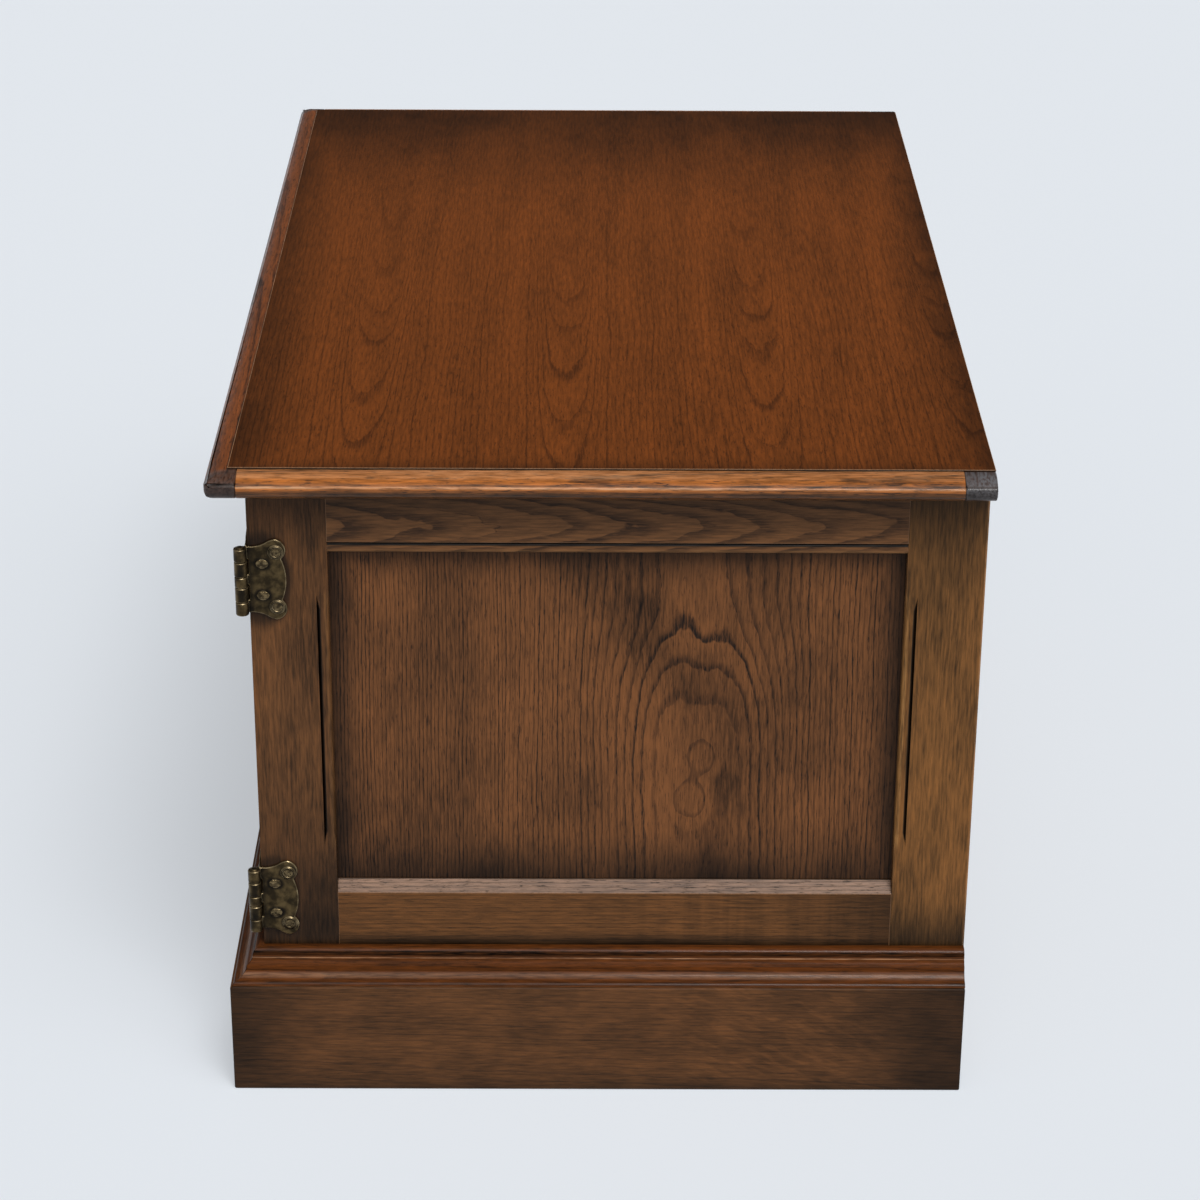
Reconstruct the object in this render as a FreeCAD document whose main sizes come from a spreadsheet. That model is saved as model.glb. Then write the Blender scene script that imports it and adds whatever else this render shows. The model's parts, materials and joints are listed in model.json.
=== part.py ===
import FreeCAD, Part
import os
import re
import Sketcher

# A low oak cupboard: framed ends, a moulded top, a plinth, and a pair of doors hung at the
# outer front corners on brass butterfly hinges, so that they fold right back against the ends.
# The front faces -Y, +X is the right-hand end, and the floor is at Z = 0.

# Driving sizes in millimetres, one cell of the sheet each.
SIZES = {
    # Carcass, from the outside of one end to the other, and floor to the underside of the top
    "carcass_length": 742,
    "carcass_depth": 468,
    "carcass_height": 433.5,
    # Top board, its veneer and its moulded lippings
    "top_thickness": 16.5,
    "top_overhang_front": 23.5,
    "top_overhang_end": 24,
    "top_overhang_back": 1.5,
    "veneer_thickness": 1.2,
    "lipping_width": 20,
    "thumb_width": 14,
    "end_thumb_width": 16,
    "thumb_drop": 5.8,
    "nose_radius": 7,
    "corner_radius": 5,
    # Framed panels of the ends and the doors
    "frame_thickness": 20,
    "stile_width": 50,
    "top_rail_height": 45.5,
    "bottom_rail_base": 60,
    "bottom_rail_height": 87.4,
    "door_top_rail_height": 44,
    "door_bottom_rail_height": 52,
    "panel_recess": 8,
    "panel_thickness": 6,
    "panel_slack": 1,
    "groove_depth": 9,
    "tenon_length": 28,
    "tenon_haunch": 8,
    "bead_width": 7.5,
    "bead_crest": 3.7,
    "bead_depth": 3,
    "bead_stop": 28.5,
    "bead_runout": 11,
    "chamfer_height": 7,
    "chamfer_depth": 7.2,
    # Front corners, where the doors and the ends meet in a mitre
    "mitre_land": 2,
    "mitre_gap": 1,
    # Rails and boards that tie the two ends together
    "tie_rail_thickness": 27.5,
    "tie_rail_depth": 60,
    "tie_rail_stub": 5,
    "bottom_board_thickness": 16,
    "board_housing": 5,
    "back_thickness": 5,
    "back_rebate": 10,
    "back_base": 60,
    "shelf_thickness": 16,
    "shelf_height": 246,
    "shelf_clearance": 1,
    "shelf_setback": 14,
    "peg_radius": 3,
    "peg_in_wood": 10,
    "peg_reach": 12,
    # Plinth
    "plinth_height": 80,
    "plinth_thickness": 22,
    "plinth_back_thickness": 18,
    "moulding_height": 21,
    "moulding_depth": 20.5,
    "block_size": 30,
    "block_height": 66,
    # Doors
    "door_thickness": 20,
    "door_gap": 2,
    "meeting_gap": 2,
    "door_proud": 0.3,
    # Butterfly hinges
    "knuckle_radius": 4.2,
    "knuckle_reach": 4,
    "pin_radius": 2,
    "pin_clearance": 0.06,
    "pin_head_radius": 3.1,
    "pin_head_height": 0.9,
    "leaf_thickness": 1.6,
    "leaf_height": 56,
    "leaf_reach": 28.4,
    "barrel_gap": 0.4,
    "hinge_inset": 34,
    "boss_radius": 4.4,
    "boss_height": 0.7,
    # Screws
    "hinge_screw_head": 2.6,
    "hinge_screw_shank": 1.3,
    "hinge_screw_length": 6.5,
    "top_screw_head": 4,
    "top_screw_shank": 2,
    "top_screw_length": 38,
    "back_screw_head": 3.2,
    "back_screw_shank": 1.6,
    "back_screw_length": 16,
    "screw_slot_width": 0.8,
    "screw_slot_depth": 0.6,
    # Magnetic catch and the plates that it holds
    "catch_length": 44,
    "catch_depth": 16,
    "catch_height": 13,
    "catch_gap": 0.4,
    "strike_width": 16,
    "strike_height": 10,
    "strike_thickness": 1.2,
    # Drop pulls
    "pull_plate_width": 22,
    "pull_plate_height": 46,
    "pull_plate_thickness": 2,
    "pull_reach": 8.4,
    "pull_pin_radius": 1.2,
    "fork_gap": 5,
    "fork_cheek": 1.8,
    "fork_radius": 3,
    "drop_length": 27,
    "drop_radius": 5.4,
    "drop_eye_radius": 2.6,
    # Fits
    "joint_clearance": 0.1,
    "overrun": 1,
}

# A hinge's barrel as a share of its leaf's height.
BARREL_SHARE = 0.83

# Places that follow from those sizes.
PLACES = {
    "end_face": "carcass_length / 2",
    "front_face": "(top_overhang_front - top_overhang_back - carcass_depth) / 2",
    "back_face": "front_face + carcass_depth",
    "inner_back": "back_face - back_thickness",
    "top_end": "end_face + top_overhang_end",
    "top_front": "front_face - top_overhang_front",
    "top_back": "back_face + top_overhang_back",
    "top_face": "carcass_height + top_thickness",
    "veneer_base": "top_face - veneer_thickness",
    "bottom_rail_top": "bottom_rail_base + bottom_rail_height",
    "top_rail_base": "carcass_height - top_rail_height",
    "moulding_top": "plinth_height + moulding_height",
    "board_base": "moulding_top - bottom_board_thickness",
    "tie_rail_base": "carcass_height - tie_rail_thickness",
    "door_base": "moulding_top + door_gap",
    "door_top": "tie_rail_base - door_gap",
    "door_middle": "(door_base + door_top) / 2",
    "door_face": "front_face - door_proud",
    "door_back": "door_face + door_thickness",
    "door_edge": "mitre_land + mitre_gap - door_proud",
    "hinge_edge": "door_edge + stile_width",
    "meeting_edge": "end_face - meeting_gap / 2",
    "back_stile_edge": "carcass_depth - stile_width",
    "panel_back": "panel_recess + panel_thickness",
    "axis_across": "end_face + knuckle_reach",
    "axis_forward": "door_face - knuckle_reach",
    "barrel_height": f"{BARREL_SHARE} * leaf_height",
    "leaf_root": "door_proud + knuckle_reach + barrel_gap",
    "pull_across": "meeting_gap / 2 + stile_width / 2",
}

# How far in from its corner the middle of a quarter round lies, and how far on.
ROUND_SHARE = 0.31
SWELL_SHARE = 0.69
# The middle of the top's thumb moulding, in from its nose and down from the veneer.
THUMB_SHARES = (0.36, 0.3)
# The base moulding: projection and height as shares of its depth and height.
MOULDING_SHARES = [
    (0, 0),
    (0, 1),
    (0.16, 1),
    ((0.31, 0.92), (0.37, 0.724)),
    ((0.442, 0.595), (0.55, 0.515)),
    (0.58, 0.371),
    ((0.705, 0.227), (0.86, 0.138)),
    ((0.955, 0.09), (1, 0)),
]
# A butterfly leaf: shares of its reach past the root, and of half its height.
LEAF_SHARES = [
    ((0.23, -0.835), (0, -0.82)),
    (0, 0.82),
    ((0.23, 0.835), (0.454, 0.907)),
    ((0.577, 0.968), (0.71, 1)),
    ((0.985, 0.8), (0.877, 0.514)),
    ((1, 0), (0.877, -0.514)),
    ((0.985, -0.8), (0.71, -1)),
    ((0.577, -0.968), (0.454, -0.907)),
]
EAR_SCREW_SHARES = [(0.735, 0.68), (0.735, -0.68)]
ROOT_SCREW_SHARES = [(0.36, 0.393), (0.36, -0.393)]
# The knuckles of a hinge, from its foot, as shares of the barrel.
KNUCKLE_SHARES = [0.2, 0.22, 0.16, 0.22, 0.2]
# The pull's plate: shares of half its width and half its height; and its drop, seen from the axis.
PLATE_SHARES = [
    ((-1, 0), (-0.3, 0.7)),
    ((0, 1), (0.3, 0.7)),
    ((1, 0), (0.3, -0.7)),
    ((0, -1), (-0.3, -0.7)),
]
PLATE_SCREW_SHARES = [0.8, -0.8]
DROP_SHARES = [
    (0, -0.04),
    (0.36, -0.04),
    ((0.4, -0.3), (0.76, -0.55)),
    ((0.96, -0.78), (0.4, -0.96)),
    ((0.22, -0.99), (0, -1)),
]
# Where the screws that hold the top and the back stand along their rails.
TOP_SCREW_SHARES = [-0.8, 0, 0.8]
BACK_SCREW_SHARES = [-0.85, 0, 0.85]
BACK_SIDE_SHARES = [0.3, 0.62]
# The middle of a tie rail's thickness that runs on as its stub tenon.
STUB_SHARES = (0.25, 0.75)

HANDS = {"right": 1, "left": -1}

doc = FreeCAD.newDocument("low_cupboard")
sheet = doc.addObject("Spreadsheet::Sheet", "Sizes")
for row, (alias, size) in enumerate(SIZES.items(), start=1):
    sheet.set(f"A{row}", alias)
    sheet.set(f"B{row}", str(size))
    sheet.setAlias(f"B{row}", alias)
doc.recompute()

subparts = []


def bound(text):
    """An expression with its places written out and its sizes pointed at their cells."""
    def spelled(match):
        word = match.group()
        if word in PLACES:
            return f"({bound(PLACES[word])})"
        return f"Sizes.{word}" if word in SIZES else word
    return re.sub(r"[a-z][a-z_]+", spelled, str(text))


def number(text):
    """What an expression comes to with the sheet's present sizes."""
    return float(sheet.evalExpression(bound(text)))


def vector(x, y, z):
    return FreeCAD.Vector(number(x), number(y), number(z))


def ordered(first, second):
    """A span between two expressions, the lower one first."""
    return f"min({first}; {second})", f"max({first}; {second})"


def keep(piece):
    """Enters a finished object among the sub-parts that are written out."""
    subparts.append(piece)
    return piece


def block(name, x, y, z):
    """A box that fills a span along each axis."""
    piece = doc.addObject("Part::Box", name)
    for side, axis, (low, high) in zip(("Length", "Width", "Height"), "xyz", (x, y, z)):
        piece.setExpression(side, bound(f"({high}) - ({low})"))
        piece.setExpression(f"Placement.Base.{axis}", bound(low))
    return piece


def upright(name, kind, x, y, z, sizes):
    """A cylinder or cone that stands on a point."""
    piece = doc.addObject(kind, name)
    for side, size in sizes.items():
        piece.setExpression(side, bound(size))
    for axis, place in zip("xyz", (x, y, z)):
        piece.setExpression(f"Placement.Base.{axis}", bound(place))
    return piece


def mapped(steps, place):
    """An outline with each of its points moved by a function; an arc's step has two points."""
    return [tuple(place(*point) for point in step) if isinstance(step[0], tuple) else place(*step)
            for step in steps]


# Each plane's role, and the sign between its normal and the axis that it lies across.
PLANES = {"XY": ("XY_Plane", 1), "XZ": ("XZ_Plane", -1), "YZ": ("YZ_Plane", 1)}


def outline(body, plane, at, steps):
    """A closed sketch whose corners follow the sheet: a step is a corner, or an arc's middle and its end."""
    role, sign = PLANES[plane]
    support = next(feature for feature in body.Origin.OriginFeatures if feature.Role == role)
    sketch = body.newObject("Sketcher::SketchObject", f"{body.Name}_outline")
    sketch.AttachmentSupport = [(support, "")]
    sketch.MapMode = "FlatFace"
    sketch.setExpression("AttachmentOffset.Base.z", bound(f"{sign} * ({at})"))
    curved = [isinstance(step[0], tuple) for step in steps]
    corners = [step[-1] if arc else step for step, arc in zip(steps, curved)]
    spots = [FreeCAD.Vector(number(across), number(up), 0) for across, up in corners]
    tied = []

    def tie(geometry, end, place, spot):
        for kind, text, size in zip(("DistanceX", "DistanceY"), place, spot):
            index = sketch.addConstraint(Sketcher.Constraint(kind, -1, 1, geometry, end, size))
            tied.append((index, text))

    first_ends = []
    last_ends = []
    for index, step in enumerate(steps):
        start, finish = spots[index - 1], spots[index]
        turned = False
        if curved[index]:
            middle = FreeCAD.Vector(*(number(text) for text in step[0]), 0)
            turned = (middle - start).cross(finish - start).z < 0
            edge = Part.Arc(finish, middle, start) if turned else Part.Arc(start, middle, finish)
        else:
            edge = Part.LineSegment(start, finish)
        geometry = sketch.addGeometry(edge, False)
        first_ends.append((geometry, 2 if turned else 1))
        last_ends.append((geometry, 1 if turned else 2))
        if curved[index]:
            guide = sketch.addGeometry(Part.Point(middle), True)
            sketch.addConstraint(Sketcher.Constraint("PointOnObject", guide, 1, geometry))
            tie(guide, 1, step[0], middle)
    for index, corner in enumerate(corners):
        following = first_ends[(index + 1) % len(steps)]
        sketch.addConstraint(Sketcher.Constraint("Coincident", *last_ends[index], *following))
        tie(*last_ends[index], corner, spots[index])
    for index, text in tied:
        sketch.setExpression(f"Constraints[{index}]", bound(text))
    return sketch


def prism(name, plane, steps, span):
    """An outline padded over a span along the axis that its plane lies across."""
    low, high = span
    body = doc.addObject("PartDesign::Body", name)
    pad = body.newObject("PartDesign::Pad", f"{name}_pad")
    pad.Profile = outline(body, plane, low, steps)
    pad.setExpression("Length", bound(f"({high}) - ({low})"))
    pad.Reversed = plane == "XZ"
    body.Tip = pad
    return body


def fuse(name, pieces):
    piece = doc.addObject("Part::MultiFuse", name)
    piece.Shapes = pieces
    return piece


def cut(name, base, tools):
    """A piece with one or more shapes taken out of it."""
    piece = doc.addObject("Part::Cut", name)
    piece.Base = base
    piece.Tool = tools[0] if len(tools) == 1 else fuse(f"{name}_tools", tools)
    return piece


def solids(name, shapes):
    """A group of separate solids held as one object."""
    piece = doc.addObject("Part::Feature", name)
    piece.Shape = Part.makeCompound(shapes)
    return piece


def screw(kind, slotted, clearance=0):
    """A countersunk screw driven along +Z, its head flush with Z = 0, or the hole that takes it."""
    head = number(f"{kind}_screw_head") + clearance
    shank = number(f"{kind}_screw_shank") + clearance
    length = number(f"{kind}_screw_length") + clearance
    taper = number("leaf_thickness") if kind == "hinge" else head - shank
    shape = Part.makeCone(head, shank, taper)
    shape = shape.fuse(Part.makeCylinder(shank, length - taper, FreeCAD.Vector(0, 0, taper)))
    if slotted:
        width = number("screw_slot_width")
        corner = FreeCAD.Vector(-head, -width / 2, 0)
        shape = shape.cut(Part.makeBox(2 * head, width, number("screw_slot_depth"), corner))
    return shape.removeSplitter()


def driven(shape, seats, into):
    """Copies of a screw or its hole, with their heads at a list of points."""
    turn = FreeCAD.Rotation(FreeCAD.Vector(0, 0, 1), FreeCAD.Vector(*into))
    copies = []
    for seat in seats:
        copy = shape.copy()
        copy.Placement = FreeCAD.Placement(seat, turn)
        copies.append(copy)
    return copies


class Framing:
    """Where a framed panel stands: along runs across its face, depth runs in from the face."""

    def __init__(self, hand):
        self.hand = hand
        self.side = HANDS[hand]

    def block(self, name, along, depth, height):
        x, y = zip(self.point(along[0], depth[0]), self.point(along[1], depth[1]))
        return block(name, ordered(*x), ordered(*y), height)


class EndFraming(Framing):
    """An end: along runs from the front of the carcass to the back."""

    section = "XZ"
    flat = "YZ"

    def point(self, along, depth):
        return f"{self.side} * (end_face - ({depth}))", f"front_face + ({along})"

    def across(self, depth):
        return self.point(0, depth)[0]

    def run(self, start, finish):
        return f"front_face + ({start})", f"front_face + ({finish})"

    def from_axis(self, reach):
        return f"axis_forward + ({reach})"

    def outward(self, low, high):
        return ordered(self.across(f"-({low})"), self.across(f"-({high})"))

    def seat(self, reach, height):
        return vector(self.across("-leaf_thickness"), self.from_axis(reach), height)

    def inward(self):
        return -self.side, 0, 0


class DoorFraming(Framing):
    """A door: along runs from the outside of the end to the middle of the cupboard."""

    section = "YZ"
    flat = "XZ"

    def point(self, along, depth):
        return f"{self.side} * (end_face - ({along}))", f"door_face + ({depth})"

    def across(self, depth):
        return self.point(0, depth)[1]

    def run(self, start, finish):
        return ordered(self.point(start, 0)[0], self.point(finish, 0)[0])

    def from_axis(self, reach):
        return f"{self.side} * (axis_across - ({reach}))"

    def outward(self, low, high):
        return f"door_face - ({high})", f"door_face - ({low})"

    def seat(self, reach, height):
        return vector(self.from_axis(reach), "door_face - leaf_thickness", height)

    def inward(self):
        return 0, 1, 0


def panel_groove(inner, into):
    """The corners of the groove in a stile's inner edge, from the back of the frame to its face."""
    floor = f"({inner}) + {into} * groove_depth"
    return [(inner, "panel_back"), (floor, "panel_back"), (floor, "panel_recess"), (inner, "panel_recess")]


def stopped_bead(framing, name, inner, into, low, high):
    """The waste of a quirked bead on a stile's inner edge, which runs out to points at both ends."""
    def spot(inset, depth, height):
        across, forward = framing.point(f"({inner}) + {into} * ({inset})", depth)
        return vector(across, forward, height)

    def waste(corner, crest, swell, foot):
        sections = []
        for height in (f"({low}) + bead_runout", f"({high}) - bead_runout"):
            points = [spot(*place, height) for place in (corner, crest, swell, foot)]
            sections.append(Part.Wire([
                Part.LineSegment(points[0], points[1]).toShape(),
                Part.Arc(points[1], points[2], points[3]).toShape(),
                Part.LineSegment(points[3], points[0]).toShape(),
            ]))
        tips = [Part.Vertex(spot(*corner, height)) for height in (low, high)]
        return Part.makeLoft([tips[0], *sections, tips[1]], True, True)

    crest = ("bead_crest", 0)
    depth = f"{ROUND_SHARE} * bead_depth"
    edge_swell = (f"{ROUND_SHARE} * bead_crest", depth)
    quirk_swell = (f"bead_crest + {SWELL_SHARE} * (bead_width - bead_crest)", depth)
    edge = waste((0, 0), crest, edge_swell, (0, "bead_depth"))
    quirk = waste(("bead_width", 0), crest, quirk_swell, ("bead_width", "bead_depth"))
    return solids(name, [edge, quirk])


def stile(framing, name, corners, inner, into, height, tenons, opening, cuts):
    """An upright: grooved for the panel, mortised for the rails, with a bead stopped short of both rails."""
    blank = prism(f"{name}_blank", "XY", mapped(corners, framing.point), height)
    tools = list(cuts)
    for number_of, (low, high) in enumerate(tenons):
        tools.append(framing.block(
            f"{name}_mortise_{number_of}",
            (inner, f"({inner}) + {into} * (tenon_length + joint_clearance)"),
            ("panel_recess", "panel_back"),
            (f"({low}) - joint_clearance", f"({high}) + joint_clearance")))
    low, high = opening
    tools.append(stopped_bead(
        framing, f"{name}_bead", inner, into, f"({low}) + bead_stop", f"({high}) - bead_stop"))
    return keep(cut(name, blank, tools))


def beaded_rail_section(base, top, thickness):
    """A top rail: a quirked bead along its lower edge, which is grooved for the panel."""
    swell = f"{ROUND_SHARE} * bead_depth"
    return [
        (thickness, base),
        (thickness, top),
        (0, top),
        (0, f"({base}) + bead_width"),
        ("bead_depth", f"({base}) + bead_width"),
        ((swell, f"({base}) + bead_crest + {SWELL_SHARE} * (bead_width - bead_crest)"),
         (0, f"({base}) + bead_crest")),
        ((swell, f"({base}) + {ROUND_SHARE} * bead_crest"), ("bead_depth", base)),
        ("panel_recess", base),
        ("panel_recess", f"({base}) + groove_depth"),
        ("panel_back", f"({base}) + groove_depth"),
        ("panel_back", base),
    ]


def chamfered_rail_section(base, top, thickness):
    """A bottom rail: its upper edge falls away to the front and is grooved for the panel."""
    return [
        (0, base),
        (0, f"({top}) - chamfer_height"),
        ("chamfer_depth", top),
        ("panel_recess", top),
        ("panel_recess", f"({top}) - groove_depth"),
        ("panel_back", f"({top}) - groove_depth"),
        ("panel_back", top),
        (thickness, top),
        (thickness, base),
    ]


def rail(framing, name, section, run, tenon, haunch, cuts=()):
    """A rail between two stiles, with a haunched tenon at each end."""
    blank = prism(
        f"{name}_blank", framing.section,
        mapped(section, lambda depth, height: (framing.across(depth), height)), framing.run(*run))
    core = ("panel_recess + joint_clearance", "panel_back - joint_clearance")
    pieces = [blank]
    for shoulder, out in zip(run, (-1, 1)):
        for part, reach, height in (("tenon", "tenon_length", tenon),
                                    ("haunch", "groove_depth - joint_clearance", haunch)):
            pieces.append(framing.block(
                f"{name}_{part}", (f"({shoulder}) - {out} * overrun", f"({shoulder}) + {out} * ({reach})"),
                core, height))
    if not cuts:
        return keep(fuse(name, pieces))
    return keep(cut(name, fuse(f"{name}_body", pieces), list(cuts)))


def panel(framing, name, along, low, high):
    """A flat panel that stands loose in the grooves of its frame."""
    start, finish = along
    keep(framing.block(
        name,
        (f"({start}) - groove_depth + panel_slack", f"({finish}) + groove_depth - panel_slack"),
        ("panel_recess + joint_clearance", "panel_back - joint_clearance"),
        (f"({low}) - groove_depth", f"({high}) + groove_depth - panel_slack")))


def hinge_middles():
    return {"upper": "door_top - hinge_inset", "lower": "door_base + hinge_inset"}


def leaf_place(middle, along_share, up_share):
    """A point of a hinge leaf: its distance from the pin's axis, and its height."""
    reach = f"leaf_root + {along_share} * (leaf_reach - leaf_root)"
    return reach, f"({middle}) + {up_share} * leaf_height / 2"


def leaf_seats(framing):
    """Where the heads of all the screws in one side's hinge leaves lie."""
    return [framing.seat(*leaf_place(middle, *share))
            for middle in hinge_middles().values() for share in EAR_SCREW_SHARES + ROOT_SCREW_SHARES]


def screw_holes(framing, name):
    hole = screw("hinge", False, number("joint_clearance"))
    return solids(name, driven(hole, leaf_seats(framing), framing.inward()))


def stub_span(start, finish):
    """Where a tie rail's stub tenon stands across its stile, clear of the edges."""
    return f"({start}) + tenon_haunch", f"({finish}) - tenon_haunch"


FRONT_STUB = stub_span("frame_thickness", "stile_width")
BACK_STUB = stub_span("back_stile_edge", "carcass_depth - back_thickness")
STUB_HEIGHT = tuple(f"tie_rail_base + {share} * tie_rail_thickness" for share in STUB_SHARES)
PEG_PLACES = ("stile_width / 2", "carcass_depth - stile_width / 2")


def stub_mortise(framing, name, along):
    low, high = along
    return framing.block(
        name, (f"({low}) - joint_clearance", f"({high}) + joint_clearance"),
        ("frame_thickness - tie_rail_stub - joint_clearance", "frame_thickness + overrun"),
        (f"{STUB_HEIGHT[0]} - joint_clearance", f"{STUB_HEIGHT[1]} + joint_clearance"))


def peg_shapes(framing, places, clearance=0):
    """Shelf pegs, or the holes that take them, across the inside of an end."""
    radius = number("peg_radius") + clearance
    shapes = []
    for along in places:
        across, forward = framing.point(along, "frame_thickness - peg_in_wood")
        foot = vector(across, forward, "shelf_height - peg_radius")
        foot = foot - FreeCAD.Vector(*framing.inward()) * clearance
        length = number("peg_in_wood + peg_reach") + clearance
        shapes.append(Part.makeCylinder(radius, length, foot, FreeCAD.Vector(*framing.inward())))
    return shapes


def end(hand, hinge_holes):
    """One end of the carcass: stiles down to the floor, two rails and a panel."""
    framing = EndFraming(hand)
    clearance = number("joint_clearance")
    height = (0, "carcass_height")
    bottom_tenon = ("bottom_rail_base + tenon_haunch", "bottom_rail_top - groove_depth")
    top_tenon = ("top_rail_base + groove_depth", "carcass_height - tenon_haunch")
    tenons = (bottom_tenon, top_tenon)
    opening = ("bottom_rail_top", "top_rail_base")

    def housing(name):
        return framing.block(
            f"{hand}_{name}_housing", (0, "carcass_depth"),
            ("frame_thickness - board_housing", "frame_thickness + overrun"), ("board_base", "moulding_top"))

    def peg_hole(name, along):
        return solids(f"{hand}_{name}_peg_hole", peg_shapes(framing, [along], clearance))

    front = [
        (0, 0),
        (0, "mitre_land"),
        ("frame_thickness - mitre_land", "frame_thickness"),
        ("stile_width", "frame_thickness"),
        *panel_groove("stile_width", -1),
        ("stile_width", 0),
    ]
    stile(framing, f"{hand}_front_stile", front, "stile_width", -1, height, tenons, opening, [
        housing("front"), peg_hole("front", PEG_PLACES[0]), hinge_holes,
        stub_mortise(framing, f"{hand}_front_stub_mortise", FRONT_STUB)])
    back = [
        ("back_stile_edge", 0),
        ("carcass_depth", 0),
        ("carcass_depth", "frame_thickness - back_rebate"),
        ("carcass_depth - back_thickness", "frame_thickness - back_rebate"),
        ("carcass_depth - back_thickness", "frame_thickness"),
        ("back_stile_edge", "frame_thickness"),
        *panel_groove("back_stile_edge", 1),
    ]
    stile(framing, f"{hand}_back_stile", back, "back_stile_edge", 1, height, tenons, opening, [
        housing("back"), peg_hole("back", PEG_PLACES[1]), back_screw_holes(f"{hand}_back_stile_screw_holes"),
        stub_mortise(framing, f"{hand}_back_stub_mortise", BACK_STUB)])
    run = ("stile_width", "back_stile_edge")
    rail(framing, f"{hand}_top_rail",
         beaded_rail_section("top_rail_base", "carcass_height", "frame_thickness"), run, top_tenon,
         ("top_rail_base + groove_depth", "carcass_height"))
    rail(framing, f"{hand}_bottom_rail",
         chamfered_rail_section("bottom_rail_base", "bottom_rail_top", "frame_thickness"), run, bottom_tenon,
         ("bottom_rail_base", "bottom_rail_top - groove_depth"), [housing("rail")])
    panel(framing, f"{hand}_end_panel", run, *opening)


def back_screw_seats():
    """The screws that hold the back: along the top rail and the bottom board, and down both stiles."""
    spread = "(end_face - frame_thickness)"
    seats = []
    for share in BACK_SCREW_SHARES:
        for height in ("tie_rail_base + tie_rail_thickness / 2", "board_base + bottom_board_thickness / 2"):
            seats.append(vector(f"{share} * {spread}", "back_face", height))
    for side in HANDS.values():
        for share in BACK_SIDE_SHARES:
            seats.append(vector(f"{side} * (end_face - frame_thickness + back_rebate / 2)", "back_face",
                                f"board_base + {share} * (tie_rail_base - board_base)"))
    return seats


def back_screw_holes(name):
    hole = screw("back", False, number("joint_clearance"))
    return solids(name, driven(hole, back_screw_seats(), (0, -1, 0)))


def top_screw_seats():
    """The screws driven up through the tie rails into the top."""
    return [vector(f"{share} * (end_face - frame_thickness)", forward, "tie_rail_base")
            for share in TOP_SCREW_SHARES
            for forward in ("front_face + tie_rail_depth / 2", "inner_back - tie_rail_depth / 2")]


def top_screw_holes(name):
    hole = screw("top", False, number("joint_clearance"))
    return solids(name, driven(hole, top_screw_seats(), (0, 0, 1)))


def carcass_boards():
    """The rails and boards between the ends, the back, the shelf and what fastens them."""
    inner = "(end_face - frame_thickness)"
    housed = f"({inner} + board_housing)"
    mitred = "(end_face - mitre_land)"
    mitre_depth = "(frame_thickness - mitre_land)"

    def tie_rail(name, corners, forward):
        pieces = [prism(f"{name}_blank", "XY", corners, ("tie_rail_base", "carcass_height"))]
        for hand, side in HANDS.items():
            ends = ordered(f"{side} * ({inner} - overrun)", f"{side} * ({inner} + tie_rail_stub)")
            span = tuple(f"front_face + ({along})" for along in forward)
            pieces.append(block(f"{name}_{hand}_stub", ends, span, STUB_HEIGHT))
        keep(cut(name, fuse(f"{name}_body", pieces), [
            top_screw_holes(f"{name}_top_screw_holes"), back_screw_holes(f"{name}_back_screw_holes")]))

    tie_rail("front_top_rail", [
        (mitred, "front_face"),
        (inner, f"front_face + {mitre_depth}"),
        (inner, "front_face + tie_rail_depth"),
        (f"-{inner}", "front_face + tie_rail_depth"),
        (f"-{inner}", f"front_face + {mitre_depth}"),
        (f"-{mitred}", "front_face"),
    ], FRONT_STUB)
    tie_rail("back_top_rail", [
        (inner, "inner_back - tie_rail_depth"),
        (inner, "inner_back"),
        (f"-{inner}", "inner_back"),
        (f"-{inner}", "inner_back - tie_rail_depth"),
    ], BACK_STUB)

    corner = f"front_face + {mitre_depth} - board_housing"
    board = prism("bottom_board_blank", "XY", [
        (mitred, "front_face"),
        (housed, corner),
        (housed, "inner_back"),
        (f"-{housed}", "inner_back"),
        (f"-{housed}", corner),
        (f"-{mitred}", "front_face"),
    ], ("board_base", "moulding_top"))
    keep(cut("bottom_board", board, [back_screw_holes("bottom_board_screw_holes")]))

    rebated = f"({inner} + back_rebate - joint_clearance)"
    back = block("back_panel_blank", (f"-{rebated}", rebated), ("inner_back", "back_face"),
                 ("back_base", "carcass_height"))
    keep(cut("back_panel", back, [back_screw_holes("back_panel_screw_holes")]))

    shelf_end = f"({inner} - shelf_clearance)"
    keep(block("shelf", (f"-{shelf_end}", shelf_end),
               ("door_back + shelf_setback", "inner_back - shelf_clearance"),
               ("shelf_height", "shelf_height + shelf_thickness")))
    pegs = [shape for hand in HANDS for shape in peg_shapes(EndFraming(hand), PEG_PLACES)]
    keep(solids("shelf_pegs", pegs))
    keep(solids("carcass_screws", driven(screw("top", True), top_screw_seats(), (0, 0, 1))
                + driven(screw("back", True), back_screw_seats(), (0, -1, 0))))


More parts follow.
